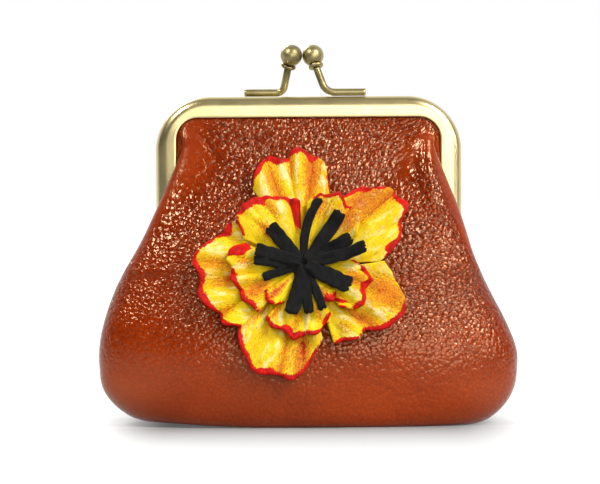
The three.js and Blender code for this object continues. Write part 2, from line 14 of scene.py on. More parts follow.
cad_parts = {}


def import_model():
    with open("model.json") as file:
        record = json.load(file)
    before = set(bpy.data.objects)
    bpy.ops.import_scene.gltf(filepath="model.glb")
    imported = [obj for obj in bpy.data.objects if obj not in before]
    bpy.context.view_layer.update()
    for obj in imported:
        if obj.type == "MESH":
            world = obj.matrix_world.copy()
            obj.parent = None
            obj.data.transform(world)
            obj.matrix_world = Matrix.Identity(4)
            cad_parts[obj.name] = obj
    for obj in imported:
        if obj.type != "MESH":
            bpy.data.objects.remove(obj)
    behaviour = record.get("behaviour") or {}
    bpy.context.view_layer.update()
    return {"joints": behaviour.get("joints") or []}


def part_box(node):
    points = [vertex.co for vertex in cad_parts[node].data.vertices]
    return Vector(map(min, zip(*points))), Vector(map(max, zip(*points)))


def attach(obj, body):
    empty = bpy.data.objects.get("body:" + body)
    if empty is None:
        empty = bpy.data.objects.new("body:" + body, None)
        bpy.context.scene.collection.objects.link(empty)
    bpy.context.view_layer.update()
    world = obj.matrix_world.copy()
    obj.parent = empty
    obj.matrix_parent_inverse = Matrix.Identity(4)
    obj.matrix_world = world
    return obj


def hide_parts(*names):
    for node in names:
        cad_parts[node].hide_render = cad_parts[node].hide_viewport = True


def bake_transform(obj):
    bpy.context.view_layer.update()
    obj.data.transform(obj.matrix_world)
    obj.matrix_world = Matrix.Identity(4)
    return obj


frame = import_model()

# Frame of reference
MM = 0.001
HINGE = np.array(frame["joints"][0]["pos_m"]) / MM
CLOSING_PLANE = np.array([0.0, HINGE[1], 0.0])
HINGE_HEIGHT = HINGE[2]

# Brass frame
CHANNEL_BOX = [np.array(corner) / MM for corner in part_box("front_frame_channel")]
FRAME_HALF = CHANNEL_BOX[1][0]
FRAME_TOP = CHANNEL_BOX[1][2]
CHANNEL_FRONT = HINGE[1] - CHANNEL_BOX[0][1]
CHANNEL_BACK = 0.25
CHANNEL_WALL = 0.7
SHOULDER_DEPTH = 2.3
SHOULDER_HEIGHT = 3.3
LIP_ROUND = 0.3
REAR_ROUND = 0.8
INNER_SHOULDER = (1.4, 1.7)
BAR_HEIGHT = 5.8
CORNER_RADIUS = 15.0
INNER_CORNER_RADIUS = 6.0
ARM_END = HINGE_HEIGHT + 5.0
ARM_TWIST = 0.3
ARM_TWIST_ACROSS = (2 - FRAME_HALF, 9 - FRAME_HALF)
ARM_TWIST_HEIGHTS = (78, 90)
ARM_STEPS = 12
CORNER_STEPS = 29
INNER_HALF = FRAME_HALF - BAR_HEIGHT
INNER_TOP = FRAME_TOP - BAR_HEIGHT
INNER_CORNER_X = INNER_HALF - INNER_CORNER_RADIUS
INNER_CORNER_Z = INNER_TOP - INNER_CORNER_RADIUS
EAR_THICKNESS = 0.8
EAR_RADIUS = 2.6
EAR_OVERLAP = 2.0
EAR_X = {"front": 38.5, "rear": 39.8}
RIVET_HEAD_RADIUS = 1.9
RIVET_HEAD_HEIGHT = 0.7
RIVET_RADIUS = 1.0

# Paper cord: three strands twisted together
PAPER_RADIUS = 0.56
PAPER_STRANDS = 3
PAPER_TURNS = 70
PAPER_FLUTE = 0.16
PAPER_CORE_SHARE = 0.85
PAPER_END = ARM_END + 2.3
PAPER_STEPS = 360

# Knobs
KNOB_SHIFT = -1.6
BALL_RADIUS = 3.0
BALL_MIDDLE = np.array([3.0, 0.8, FRAME_TOP + 11.5])
BALL_SEAT_RADIUS = 1.6
COLLAR_RADIUS = 2.1
COLLAR_HEIGHT = 1.1
SEAT_GAP = 0.3
STEM_RADIUS = 1.02
STEM_BEVEL = 0.16
STEM_FOOT_END = {"front": 17.6, "rear": 16.2}
STEM_CORNER = {"front": 6.5, "rear": 5.4}
STEM_BEND_RADIUS = {"front": 3.6, "rear": 2.3}
KNOB_ROOT = np.array([4.6, -1.24, FRAME_TOP + 5.75])

# Leather bag
LEATHER = 1.0
LINING = 0.4
LINING_INSET = 1.0
RIM_INSET = 6.6
RIM_HEIGHT = FRAME_TOP - RIM_INSET
RIM_DEPTH = 3.9
BELLY_HEIGHT = 21.0
BAG_DEPTH = 47.0
BASE_DEPTH = 35.0
BASE_SEAM_HALF = 41.0
BASE_ROW = 17.0
SEAM_VALLEY = 1.5
SEAM_DEPTH = 0.2
SECTION_POWER = 2.4
FOLD_SHARE = 0.4
FOLD_START = 2 / 3
DEPTH_POWER = 1.5
RIM_ARM_SHARE = 0.22
PARTING_START = HINGE_HEIGHT - 1.75 * EAR_RADIUS
PARTING_END = HINGE_HEIGHT - 0.5 * EAR_RADIUS
FOLD_ROUND_START = 0.5
FOLD_ROUND_END = 1.2
LEATHER_COLUMNS = 241
LEATHER_ROWS = 190
LEATHER_SEEDS = {"front": 5, "rear": 11}
LINING_FIRST_ROW = 8
LINING_FIRST_COLUMN = 2
LINING_STEP = 2

# The leather's edge in the channel, row by row: distance outwards from the rim, and depth
HEM_ROWS = [(0.5, 3.5), (0.95, 3.32), (1.6, 3.26), (2.6, 3.25), (4.2, 3.25)]
HEM_HELD = (ARM_END - 3, ARM_END + 4)

# Lift of the bottom corner on the viewer's left: from and to a distance across, and up to a height
CORNER_LIFT = 1.5
CORNER_LIFT_ACROSS = (12, 52)
CORNER_LIFT_TOP = 24

# Half width of the leather by height, and how far the bag leans to the viewer's left
HALF_WIDTHS = [(0.5, 45.8), (1.2, 48.2), (3, 51.2), (5, 53.4), (7, 55), (9.5, 56.3), (12, 57), (15, 57.3),
               (20, 57.4), (26.4, 55.9), (37.5, 51.3), (48.6, 45.9), (59.7, 41.4), (70.8, 36.7), (75, 35),
               (77.5, 34.4), (79.5, 34.8), (81, 35), (82, 34.6), (83, 33.8), (84, 32.2), (84.4, 30.6)]
LEAN = [(0, -0.4), (8, -0.5), (20, -0.5), (27, -1.2), (38, -2.1), (44, -1.9), (54, -0.8), (65, -0.2), (84, 0)]

# Folds below the frame's corners: lines of (x, z, lift forwards), and how far each reaches sideways
FOLDS = [
    ([(-33.4, 82.2, 0.1), (-32.8, 80, 0.3), (-33, 76, 0.45), (-34.6, 70, 0.5), (-37.4, 62, 0.3),
      (-40, 55, 0)], 5.4),
    ([(-33, 83, -0.3), (-30.5, 80.8, -0.45), (-28.2, 78.4, -0.4), (-26.6, 76, -0.25), (-25.8, 74, 0)], 0.9),
    ([(-27, 79, -0.1), (-25.5, 73, -0.3), (-27, 66, -0.25), (-30, 58, 0)], 4.6),
    ([(33.2, 80, 0), (33.2, 78.4, 1.6), (32.8, 74, 2.1), (33.4, 68.5, 1.8), (35.6, 62, 1.2), (38.4, 54, 0.5),
      (40.5, 48, 0)], 3.1),
    ([(33, 80, 0.2), (33, 76, 0.9), (34, 70, 1.3), (36.5, 62, 1.0), (39.5, 54, 0)], 6.0),
    ([(31, 77.6, -0.35), (27.4, 73, -0.6), (23.6, 67.5, -0.4), (20, 61, 0)], 4.2),
    ([(26, 81, 0), (30, 80.6, 0.5), (32.6, 79.2, 0.6), (33.4, 77.6, 0)], 1.0),
]
FOLD_FREE = (RIM_DEPTH + 0.05, RIM_DEPTH + 1.6)
SWELL_HEIGHT = 0.3
SWELL_LENGTH = 32
# How much painted shade the grooves of the folds get, by their depth
HOLLOW_SHADE_GAIN = 1.9
HOLLOW_SHADE_LIMIT = 0.2

# Places where the leather is drawn smooth: lines of (x, z, share), and widths
SMOOTH_PLACES = [
    ([(-33, 82, 0.84), (-32.4, 76, 0.86), (-34.4, 69, 0.7), (-39.6, 59, 0.45), (-44, 48, 0.1)], 5.2),
    ([(34, 78.5, 0.8), (36, 74, 0.9), (40, 64, 0.85), (44, 52, 0.5)], 2.6),
    ([(32.4, 79, 0.5), (29, 75.4, 0.72), (25.6, 70.4, 0.66), (22, 64.6, 0.3)], 4.2),
    ([(-26, 74, 0.35), (-28, 67, 0.2)], 4.0),
]

# Strength of the grain: less low down, on the lower left and along the upper sides
LOW_GRAIN = 0.28
LOW_GRAIN_HEIGHTS = (5, 40)
LEFT_GRAIN_LOSS = 0.35
LEFT_GRAIN_ACROSS = (-52, -14)
LEFT_GRAIN_HEIGHTS = (38, 66)
SIDE_GRAIN_LOSS = 0.75
SIDE_GRAIN_SHARES = (0.93, 0.985)
SIDE_GRAIN_START = (34, 60)
SIDE_GRAIN_END = (75, 79)

# Pull of the frame's corners on the grain, by distance, and the number of pebbles
PULL_FADE = (22, 62)
PULL_MIDDLE = 18
PULL_STRETCH = 1.4
PEBBLES_PER_MM = 0.86
FINE_PEBBLES_PER_MM = 1.6

# Flower
FLOWER_X = -1.4
FLOWER_HEIGHT = 43.6
SLOPE_STEP = 1.0
PETAL = 1.15
PETAL_ROOT = 3.5
LAYER_HEIGHTS = {"outer": 1.65, "inner": 2.85, "small": 4.05}
OUTER_REACH = 33.0
INNER_REACH = 22.0
OUTER_CUP = 4.2
INNER_CUP = 2.4
BACKING_RADIUS = 11.0
BACKING = 0.6
CORE_HEIGHT = 4.8
CORE_RADIUS = 4.0
CORE_DOME = 2.4
STAMEN = 1.1
STAMEN_HEIGHT = 5.35
STAMEN_LIFT = 3.2
STAMEN_ROOT = 1.2
STAMEN_NECK = 0.62
STAMEN_FRAY = 0.016
STAMEN_WAVE = 0.4
STAMEN_CURL = 0.35
STAMEN_SEED = 120

# Petals: spread at the root, then heights of the ruffle, the rim's curl, the fine creases and the ragged
# outline, with wavelengths as shares of a petal's width
PETAL_COLUMNS = 97
PETAL_ROWS = 56
PETAL_ROOT_SPREAD = 0.78
RUFFLE = 0.7
CURL, CURL_LENGTH = 0.6, 0.35
CREASES, CREASE_LENGTH = 0.14, 0.16
RAGGED, RAGGED_LENGTH = 0.13, 0.14
RIM_SMOOTHING = 49

# Red paint on a petal's rim: how its width changes, and how thin stretches and the sides are left bare
RED_CHANGE, RED_CHANGE_LENGTH = 0.4, 0.26
RED_OFFSET = 0.25
RED_THIN = (0.15, 0.4)
RED_BARE = 0.8
RED_SIDE_OFFSET, RED_SIDE_SLOPE = 0.3, 2.0
RED_DAB = 3

# How far the paint's brush marks move on from one petal to the next
PAINT_SHIFT = 7.3

# Each petal: its first and last direction in degrees, the rim's reach and the red edge's width at even steps
# between them, pleats as (share across, lift, width), and orange stains as (share across, share outwards,
# width, length, strength)
OUTER_PETALS = [
    (71, 123, [20.7, 27.6, 29.4, 30.9, 28.6, 30.4, 28.8, 25.0], [0.6, 0.2, 1.2, 1.4, 0.9, 1.3, 0.9, 0.4],
     [(0.1, 1.2, 0.07), (0.26, -1.1, 0.08), (0.41, 1.1, 0.06), (0.51, -1.0, 0.04), (0.6, 1.1, 0.06),
      (0.75, -1.0, 0.07), (0.89, 0.9, 0.07)],
     [(0.26, 0.78, 0.1, 0.3, 1.0), (0.77, 0.68, 0.1, 0.2, 0.8), (0.51, 0.88, 0.04, 0.1, 0.9)]),
    (4, 60, [20.5, 24.6, 27.2, 28.4, 31.9, 31.0, 30.7, 27.4, 25.8, 20.8],
     [0.1, 1.9, 0.5, 1.1, 1.1, 0.9, 0.3, 1.1, 1.4, 0.8],
     [(0.08, 0.5, 0.08), (0.4, 0.6, 0.16), (0.6, -1.3, 0.06), (0.74, 0.7, 0.07), (0.9, -0.5, 0.06)],
     [(0.78, 0.8, 0.16, 0.3, 1.0), (0.62, 0.9, 0.03, 0.2, 0.6)]),
    (-68, 2, [22.2, 22.4, 24.4, 23.4, 26.9, 28.6, 29.6, 28.4, 25.6, 23.4, 21.6],
     [0.6, 0.7, 0.5, 0.6, 1.6, 1.6, 0.9, 0.2, 0.1, 0.15, 0.1],
     [(0.2, 0.7, 0.08), (0.37, -1.1, 0.06), (0.52, 1.1, 0.06), (0.72, -0.8, 0.12), (0.93, 0.7, 0.07)],
     [(0.72, 0.82, 0.15, 0.24, 0.9), (0.36, 0.8, 0.07, 0.2, 0.7), (0.16, 0.82, 0.06, 0.1, 0.5)]),
    (223, 283, [24.2, 27.0, 28.9, 31.3, 31.4, 30.2, 31.2, 28.0, 23.6, 19.7],
     [0.8, 1.0, 1.1, 1.2, 1.5, 1.0, 1.3, 1.3, 0.8, 0.2],
     [(0.1, 1.1, 0.06), (0.25, -0.8, 0.08), (0.43, 0.9, 0.08), (0.56, -0.6, 0.04), (0.65, 0.4, 0.04),
      (0.77, -1.1, 0.07), (0.94, 0.8, 0.07)],
     [(0.76, 0.8, 0.08, 0.3, 1.2), (0.56, 0.8, 0.05, 0.3, 0.7), (0.04, 0.6, 0.05, 0.3, 0.7)]),
    (149, 223, [23.2, 23.4, 25.4, 28.4, 30.1, 28.0, 29.3, 29.0, 26.2, 26.6, 23.6],
     [0.4, 1.9, 0.7, 0.8, 1.0, 1.4, 1.3, 1.4, 1.2, 0.9, 0.3],
     [(0.05, 0.8, 0.06), (0.15, -0.7, 0.05), (0.28, 0.8, 0.07), (0.39, -0.7, 0.05), (0.48, 0.7, 0.05),
      (0.57, -0.9, 0.05), (0.68, 0.9, 0.07), (0.82, -0.8, 0.05), (0.94, 0.7, 0.07)],
     [(0.4, 0.76, 0.06, 0.2, 0.6), (0.57, 0.64, 0.06, 0.2, 0.9), (0.82, 0.9, 0.05, 0.1, 0.6)]),
]
INNER_PETALS = [
    (95, 156, [16.9, 18.2, 19.6, 21.4, 22.2, 21.6, 17.3], [1.5, 1.7, 0.5, 2.0, 1.4, 0.6, 0.3],
     [(0.03, 0.7, 0.05), (0.12, -1.0, 0.05), (0.3, 0.8, 0.1), (0.46, -0.5, 0.05), (0.6, 0.5, 0.1),
      (0.8, -0.5, 0.08)],
     [(0.7, 0.5, 0.1, 0.18, 1.1), (0.42, 0.8, 0.08, 0.15, 0.6), (0.04, 0.6, 0.04, 0.3, 0.7)]),
    (29, 86, [16.2, 18.6, 19.9, 19.2, 20.6, 19.4, 18.8, 16.6], [0.1, 0.1, 0.2, 0.8, 0.9, 0.8, 0.7, 0.5],
     [(0.06, 0.7, 0.06), (0.2, 0.5, 0.06), (0.34, -0.8, 0.06), (0.6, 0.6, 0.14), (0.86, -0.5, 0.08)],
     [(0.24, 0.85, 0.14, 0.22, 0.9), (0.8, 0.82, 0.15, 0.2, 0.6), (0.5, 0.7, 0.2, 0.2, 0.4)]),
    (-49, 4, [14.6, 18.2, 19.0, 17.4, 18.5, 16.2, 13.4], [0.3, 0.9, 1.3, 1.3, 1.6, 1.0, 0.6],
     [(0.15, -0.6, 0.07), (0.35, 0.7, 0.1), (0.6, -0.7, 0.08), (0.85, 0.6, 0.1)],
     [(0.65, 0.72, 0.18, 0.2, 0.8), (0.1, 0.6, 0.06, 0.2, 0.6)]),
    (235, 297, [17.6, 19.0, 18.3, 20.1, 18.7, 19.0, 16.6, 14.8], [1.1, 0.9, 1.2, 2.0, 0.9, 0.7, 0.8, 0.5],
     [(0.03, -0.5, 0.05), (0.18, 0.9, 0.08), (0.42, -0.7, 0.07), (0.64, 0.7, 0.1), (0.82, -0.6, 0.05),
      (0.95, 0.7, 0.05)],
     [(0.05, 0.75, 0.05, 0.15, 0.9), (0.44, 0.7, 0.06, 0.2, 0.4), (0.84, 0.7, 0.07, 0.2, 0.6)]),
    (161, 224, [16.9, 19.9, 20.5, 19.3, 20.1, 18.4, 19.1, 17.9, 17.6],
     [1.9, 1.6, 0.2, 0.5, 1.4, 1.2, 1.1, 1.1, 0.6],
     [(0.1, 0.5, 0.06), (0.21, -0.5, 0.05), (0.32, 0.7, 0.07), (0.43, -0.6, 0.04), (0.52, 0.7, 0.05),
      (0.72, -0.8, 0.09), (0.92, 0.5, 0.07)],
     [(0.24, 0.75, 0.08, 0.12, 0.7), (0.74, 0.72, 0.16, 0.26, 0.9)]),
]
SMALL_PETALS = [
    (215, 240, [12.4, 13.6, 13.4, 11.2], [0.5, 0.7, 0.6, 0.4], [(0.3, -0.5, 0.1), (0.65, 0.4, 0.1)],
     [(0.35, 0.65, 0.2, 0.4, 1.8)]),
    (-62, -43, [10.4, 12.1, 11.0], [1.8, 1.9, 0.5], [(0.4, 0.4, 0.2)], [(0.3, 0.7, 0.3, 0.3, 0.8)]),
]
# The layers of petals, and the random seed that each petal's is counted from
LAYERS = [("outer", OUTER_PETALS, 20), ("inner", INNER_PETALS, 60), ("small", SMALL_PETALS, 90)]
SEED_STEP = 5

# Dabs of red away from the outer edge, by petal: share across, share outwards and their sizes
RED_DABS = {
    ("inner", 1): [(0.05, 0.72, 0.06, 0.2)],
    ("inner", 5): [(0.1, 0.86, 0.07, 0.09)],
    ("inner", 3): [(0.1, 0.8, 0.08, 0.1)],
    ("outer", 1): [(0.88, 0.72, 0.05, 0.1)],
}

# Each suede strip: direction in degrees, width, reach, sideways bend and twist
STAMENS = [
    (93, 1.8, 16.9, -5.0, 0.3), (51, 2.8, 16.0, 0.5, -0.2), (29, 2.4, 13.9, -0.4, 0.5),
    (10, 2.4, 16.6, 0.9, 0.2), (-28, 3.9, 13.6, 0.2, -0.3), (-66, 1.5, 13.3, -0.6, 0.4),
    (-87, 1.9, 13.2, 0.5, 0.3), (-103, 3.1, 14.0, -0.5, 0), (196, 1.5, 11.4, 0.6, -0.4),
    (180, 1.6, 13.2, -0.7, 0.3), (163, 2.7, 13.1, 0.4, 0.2), (135, 3.1, 13.1, -0.3, -0.2),
]

# Camera, from the photograph's frame
IMAGE_WIDTH = 600
IMAGE_HEIGHT = 484
MIDDLE_COLUMN = 309
FLOOR_ROW = 422.5
MM_PER_PIXEL = 0.2795
CAMERA_DISTANCE = 900.0
CAMERA_ELEVATION = 1.8
CAMERA_ROLL = -0.35
SENSOR_WIDTH = 36.0
CLIP = (0.01, 20)

# Lamps: name, place and size in metres, and power
LAMPS = [
    ("window", (0.64, -0.66, 0.82), (0.42, 0.38), 10.6),
    ("side", (0.85, -0.6, 0.3), (0.12, 0.24), 1.8),
    ("fill", (-0.64, -0.55, 0.9), (0.24, 0.24), 7.0),
    ("card", (0.33, -1.25, 0.27), (0.86, 0.55), 7.0),
    ("ceiling", (0.0, -0.45, 1.35), (1.4, 0.9), 0.6),
    ("back", (-0.5, 1.2, 0.75), (0.5, 0.4), 9.0),
]
LAMP_AIM = (0, 0, 0.05)
LAMP_COLOUR = (1.0, 0.96, 0.9)

# Room, by direction: its light from the front to the back, and how much of it is left overhead
ROOM_DEPTHS = (-0.2, 0.5)
ROOM_LIGHT = (0.06, 0.75)
ROOM_HEIGHTS = (0.15, 0.55)
OVERHEAD_SHARE = 0.25

# Floor: a square of plain white around a patch painted darker as the purse's shadow, where the real shadow
# also shows
FLOOR_HALF = 3000.0
FLOOR_GREY = (0.255, 0.265, 0.275, 1.0)
SHADOW_SHARE = 0.9
SHADOW_SIDES = (38.0, 66.0)
SHADOW_DEPTH = 16.0
SHADOW_FADE = 52.0
MIRRORED_DEPTHS = (-140.0, 20.0)
MIRRORED_AHEAD = 0.12
WHITE = (1.0, 1.0, 1.0, 1.0)


# Small tools

def lerp(a, b, share):
    return a + (b - a) * share


def smoothstep(value, start, end):
    t = np.clip((value - start) / (end - start), 0, 1)
    return t * t * (3 - 2 * t)


def through(points, value):
    """A smooth curve through points (place, height), read at value."""
    place, height = np.array(points, float).T
    steps = np.diff(height) / np.diff(place)
    slope = np.concatenate([steps[:1], (steps[1:] + steps[:-1]) / 2, steps[-1:]])
    value = np.clip(value, place[0], place[-1])
    i = np.clip(np.searchsorted(place, value) - 1, 0, len(place) - 2)
    width = place[i + 1] - place[i]
    t = (value - place[i]) / width
    return (height[i] * (1 + 2 * t) * (1 - t) ** 2 + slope[i] * width * t * (1 - t) ** 2
            + height[i + 1] * t * t * (3 - 2 * t) + slope[i + 1] * width * t * t * (t - 1))


def unit(vectors):
    return vectors / np.maximum(np.linalg.norm(vectors, axis=-1, keepdims=True), 1e-9)


def ripple(seed, wavelength, *coordinates):
    """A smooth random field from about -1 to 1, the same on each run."""
    rng = np.random.default_rng(seed)
    total = np.zeros(np.broadcast(*coordinates).shape)
    waves = 7
    for _ in range(waves):
        direction = unit(rng.normal(size=len(coordinates)))
        frequency = 2 * np.pi / wavelength * rng.uniform(0.6, 1.4)
        along = sum(d * c for d, c in zip(direction, coordinates))
        total += np.sin(frequency * along + rng.uniform(0, 2 * np.pi))
    return total / math.sqrt(waves)


def turned_to_rear(points):
    return points * np.array([-1, -1, 1])


# Meshes

def make_object(name, shape, material, rear=False, sharp=None):
    """A smooth-shaded object from points in millimetres, arrays of faces and, for a sheet, attributes."""
    points, faces = shape[:2]
    attributes = shape[2] if len(shape) > 2 else {}
    if rear:
        points = turned_to_rear(points)
    mesh = bpy.data.meshes.new(name)
    corners = np.concatenate([face.ravel() for face in faces]).astype(np.int32)
    counts = np.concatenate([np.full(len(face), face.shape[1]) for face in faces])
    starts = np.concatenate([[0], np.cumsum(counts)[:-1]]).astype(np.int32)
    mesh.vertices.add(len(points))
    mesh.vertices.foreach_set("co", ((points + CLOSING_PLANE) * MM).astype(np.float32).ravel())
    mesh.loops.add(len(corners))
    mesh.loops.foreach_set("vertex_index", corners)
    mesh.polygons.add(len(counts))
    mesh.polygons.foreach_set("loop_start", starts)
    mesh.polygons.foreach_set("use_smooth", np.ones(len(counts), bool))
    for key, values in attributes.items():
        kind = "FLOAT_VECTOR" if values.ndim == 2 else "FLOAT"
        field = "vector" if values.ndim == 2 else "value"
        attribute = mesh.attributes.new(key, kind, "POINT")
        attribute.data.foreach_set(field, values.astype(np.float32).ravel())
    mesh.update(calc_edges=True)
    if sharp:
        mesh.set_sharp_from_angle(angle=math.radians(sharp))
    mesh.materials.append(material)
    made = bpy.data.objects.new(name, mesh)
    bpy.context.scene.collection.objects.link(made)
    return made


def grid_faces(rows, columns, start=0, around=False):
    """Quads of a grid of points; around joins the last column to the first."""
    ids = np.arange(rows * columns).reshape(rows, columns) + start
    if around:
        ids = np.hstack([ids, ids[:, :1]])
    return np.stack([ids[:-1, :-1], ids[:-1, 1:], ids[1:, 1:], ids[1:, :-1]], axis=-1).reshape(-1, 4)


def grid_normals(grid):
    return unit(np.cross(np.gradient(grid, axis=1), np.gradient(grid, axis=0)))


def closed_sheet(grid, thickness, edge_steps=3, per_point=None):
    """Points, faces and attributes of a sheet with rounded edges around a grid of points."""
    rows, columns = grid.shape[:2]
    half = thickness / 2
    normals = grid_normals(grid)
    outward = np.zeros_like(grid)
    outward[:, 0] -= unit(np.gradient(grid, axis=1))[:, 0]
    outward[:, -1] += unit(np.gradient(grid, axis=1))[:, -1]
    outward[0] -= unit(np.gradient(grid, axis=0))[0]
    outward[-1] += unit(np.gradient(grid, axis=0))[-1]
    ids = np.arange(rows * columns).reshape(rows, columns)
    loop = np.concatenate([ids[0], ids[1:, -1], ids[-1, -2::-1], ids[-2:0:-1, 0]])
    flat = grid.reshape(-1, 3)
    up = normals.reshape(-1, 3)
    out = outward.reshape(-1, 3)[loop]
    out = unit(out - up[loop] * np.sum(out * up[loop], axis=1, keepdims=True))
    points = [flat + up * half, flat - up * half]
    rings = [loop]
    for step in range(1, edge_steps + 1):
        angle = math.pi * step / (edge_steps + 1)
        rings.append(len(loop) * (step - 1) + 2 * rows * columns + np.arange(len(loop)))
        points.append(flat[loop] + half * (up[loop] * math.cos(angle) + out * math.sin(angle)))
    rings.append(loop + rows * columns)
    faces = [grid_faces(rows, columns), grid_faces(rows, columns, rows * columns)[:, ::-1]]
    for upper, lower in zip(rings[:-1], rings[1:]):
        faces.append(np.stack([upper, lower, np.roll(lower, -1), np.roll(upper, -1)], axis=1))
    attributes = {}
    for key, values in (per_point or {}).items():
        values = values.reshape(rows * columns, -1).squeeze()
        attributes[key] = np.concatenate([values, values, *[values[loop]] * edge_steps])
    side = [np.ones(rows * columns), -np.ones(rows * columns)]
    side += [np.full(len(loop), math.cos(math.pi * k / (edge_steps + 1))) for k in range(1, edge_steps + 1)]
    attributes["face_side"] = np.concatenate(side)
    return np.concatenate(points), faces, attributes


def capped(rings, ends):
    """Points and faces of rings of points, closed by a fan to an end point on either side."""
    rows, sides = rings.shape[:2]
    count = rows * sides
    points = np.concatenate([rings.reshape(-1, 3), ends])
    first = np.arange(sides)
    last = first + count - sides
    caps = [np.stack([np.roll(first, -1), first, np.full(sides, count)], axis=1),
            np.stack([last, np.roll(last, -1), np.full(sides, count + 1)], axis=1)]
    return points, [grid_faces(rows, sides, around=True), *caps]


def tube(path, radii, sides=24, flutes=0, flute_depth=0.0, flute_turns=0.0):
    """Points and faces of a capped tube along a path, with optional twisted flutes."""
    tangent = unit(np.gradient(path, axis=0))
    normal = np.zeros_like(path)
    askew = [0.3, 0.9, 0.2]
    normal[0] = unit(np.cross(tangent[0], askew))
    for i in range(1, len(path)):
        normal[i] = unit(normal[i - 1] - tangent[i] * np.dot(normal[i - 1], tangent[i]))
    side = np.cross(tangent, normal)
    angle = np.arange(sides) / sides * 2 * np.pi
    along = np.linspace(0, 1, len(path))[:, None]
    swell = 1 + flute_depth * np.abs(np.cos((flutes * angle[None] - 2 * np.pi * flute_turns * along) / 2))
    reach = (np.asarray(radii, float)[:, None] * swell)[..., None]
    rings = path[:, None] + reach * (normal[:, None] * np.cos(angle)[None, :, None]
                                     + side[:, None] * np.sin(angle)[None, :, None])
    return capped(rings, path[[0, -1]])


def revolved(profile, place, axis, sides=48):
    """Points and faces of a profile (radius, height) turned about an axis; its ends lie on the axis."""
    axis = unit(np.asarray(axis, float))
    askew = [0.31, 0.87, 0.38]
    right = unit(np.cross(axis, askew))
    ahead = np.cross(axis, right)
    profile = np.asarray(profile, float)
    angle = np.arange(sides) / sides * 2 * np.pi
    around = right * np.cos(angle)[:, None] + ahead * np.sin(angle)[:, None]
    body = profile[1:-1]
    rings = place + body[:, None, :1] * around[None] + body[:, None, 1:] * axis
    return capped(rings, place + profile[[0, -1], 1:] * axis)


def joined(parts):
    """Several (points, faces) as one."""
    points, faces, start = [], [], 0
    for part_points, part_faces in parts:
        points.append(part_points)
        faces += [face + start for face in part_faces]
        start += len(part_points)
    return np.concatenate(points), faces


def follow_frame(made):
    """Bakes a soft piece's placement into its mesh."""
    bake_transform(made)


# Materials

class Nodes:
    """A tree of shader nodes built up by short calls."""

    def __init__(self, tree):
        self.tree = tree

    def put(self, socket, value):
        if isinstance(value, bpy.types.NodeSocket):
            self.tree.links.new(value, socket)
        else:
            socket.default_value = value

    def fill(self, made, **inputs):
        for key, value in inputs.items():
            self.put(made.inputs[key.replace("_", " ")], value)

    def node(self, kind, settings=None, **inputs):
        made = self.tree.nodes.new(kind)
        for key, value in (settings or {}).items():
            setattr(made, key, value)
        self.fill(made, **inputs)
        return made

    def chain(self, kind, settings, values):
        """The first output of a node whose inputs take the values in order."""
        made = self.node(kind, settings)
        for socket, value in zip(made.inputs, values):
            self.put(socket, value)
        return made.outputs[0]

    def math(self, operation, *values):
        return self.chain("ShaderNodeMath", {"operation": operation}, values)

    def plus(self, *values):
        return self.math("ADD", *values)

    def minus(self, *values):
        return self.math("SUBTRACT", *values)

    def times(self, *values):
        return self.math("MULTIPLY", *values)

    def vector(self, operation, *values):
        return self.chain("ShaderNodeVectorMath", {"operation": operation}, values)

    def stretched(self, vector, scales):
        return self.vector("MULTIPLY", vector, scales)

    def split(self, vector):
        """The three parts of a vector."""
        return self.node("ShaderNodeSeparateXYZ", Vector=vector).outputs

    def step(self, value, start, end, low=0.0, high=1.0, kind="SMOOTHSTEP"):
        """From low to high as the value goes from start to end."""
        return self.chain("ShaderNodeMapRange", {"interpolation_type": kind}, (value, start, end, low, high))

    def mix(self, share, a, b):
        made = self.node("ShaderNodeMix", {"data_type": "RGBA"})
        for index, value in ((0, share), (6, a), (7, b)):
            self.put(made.inputs[index], value)
        return made.outputs[2]

    def rays(self):
        """1 for rays from the camera, and 1 for rays mirrored by or passing through something."""
        path = self.node("ShaderNodeLightPath").outputs
        return path["Is Camera Ray"], self.math("MAXIMUM", path["Is Glossy Ray"], path["Is Transmission Ray"])


class Shader(Nodes):
    """A material and its nodes."""

    def __init__(self, name):
        self.material = bpy.data.materials.new(name)
        self.material.use_nodes = True
        super().__init__(self.material.node_tree)
        self.surface = self.tree.nodes["Principled BSDF"]

    def set(self, **inputs):
        self.fill(self.surface, **inputs)

    def noise(self, vector, scale, detail=2.0, roughness=0.5, output="Fac"):
        made = self.node("ShaderNodeTexNoise", Vector=vector, Scale=scale, Detail=detail, Roughness=roughness)
        return made.outputs[output]

    def voronoi(self, vector, scale, feature="F1"):
        made = self.node("ShaderNodeTexVoronoi", {"feature": feature}, Vector=vector, Scale=scale)
        return made.outputs["Distance"]

    def bump(self, height, distance):
        return self.node("ShaderNodeBump", Height=height, Distance=distance * MM, Strength=1.0).outputs[0]

    def place(self):
        """The point on the object, in millimetres."""
        return self.stretched(self.node("ShaderNodeTexCoord").outputs["Object"], (1 / MM, 1 / MM, 1 / MM))

    def attribute(self, name, output="Fac"):
        return self.node("ShaderNodeAttribute", {"attribute_name": name}).outputs[output]


def rgb(red, green, blue):
    """A colour as written in a picture, made linear."""
    def linear(value):
        share = value / 255
        return share / 12.92 if share <= 0.04045 else ((share + 0.055) / 1.055) ** 2.4
    return (linear(red), linear(green), linear(blue), 1.0)


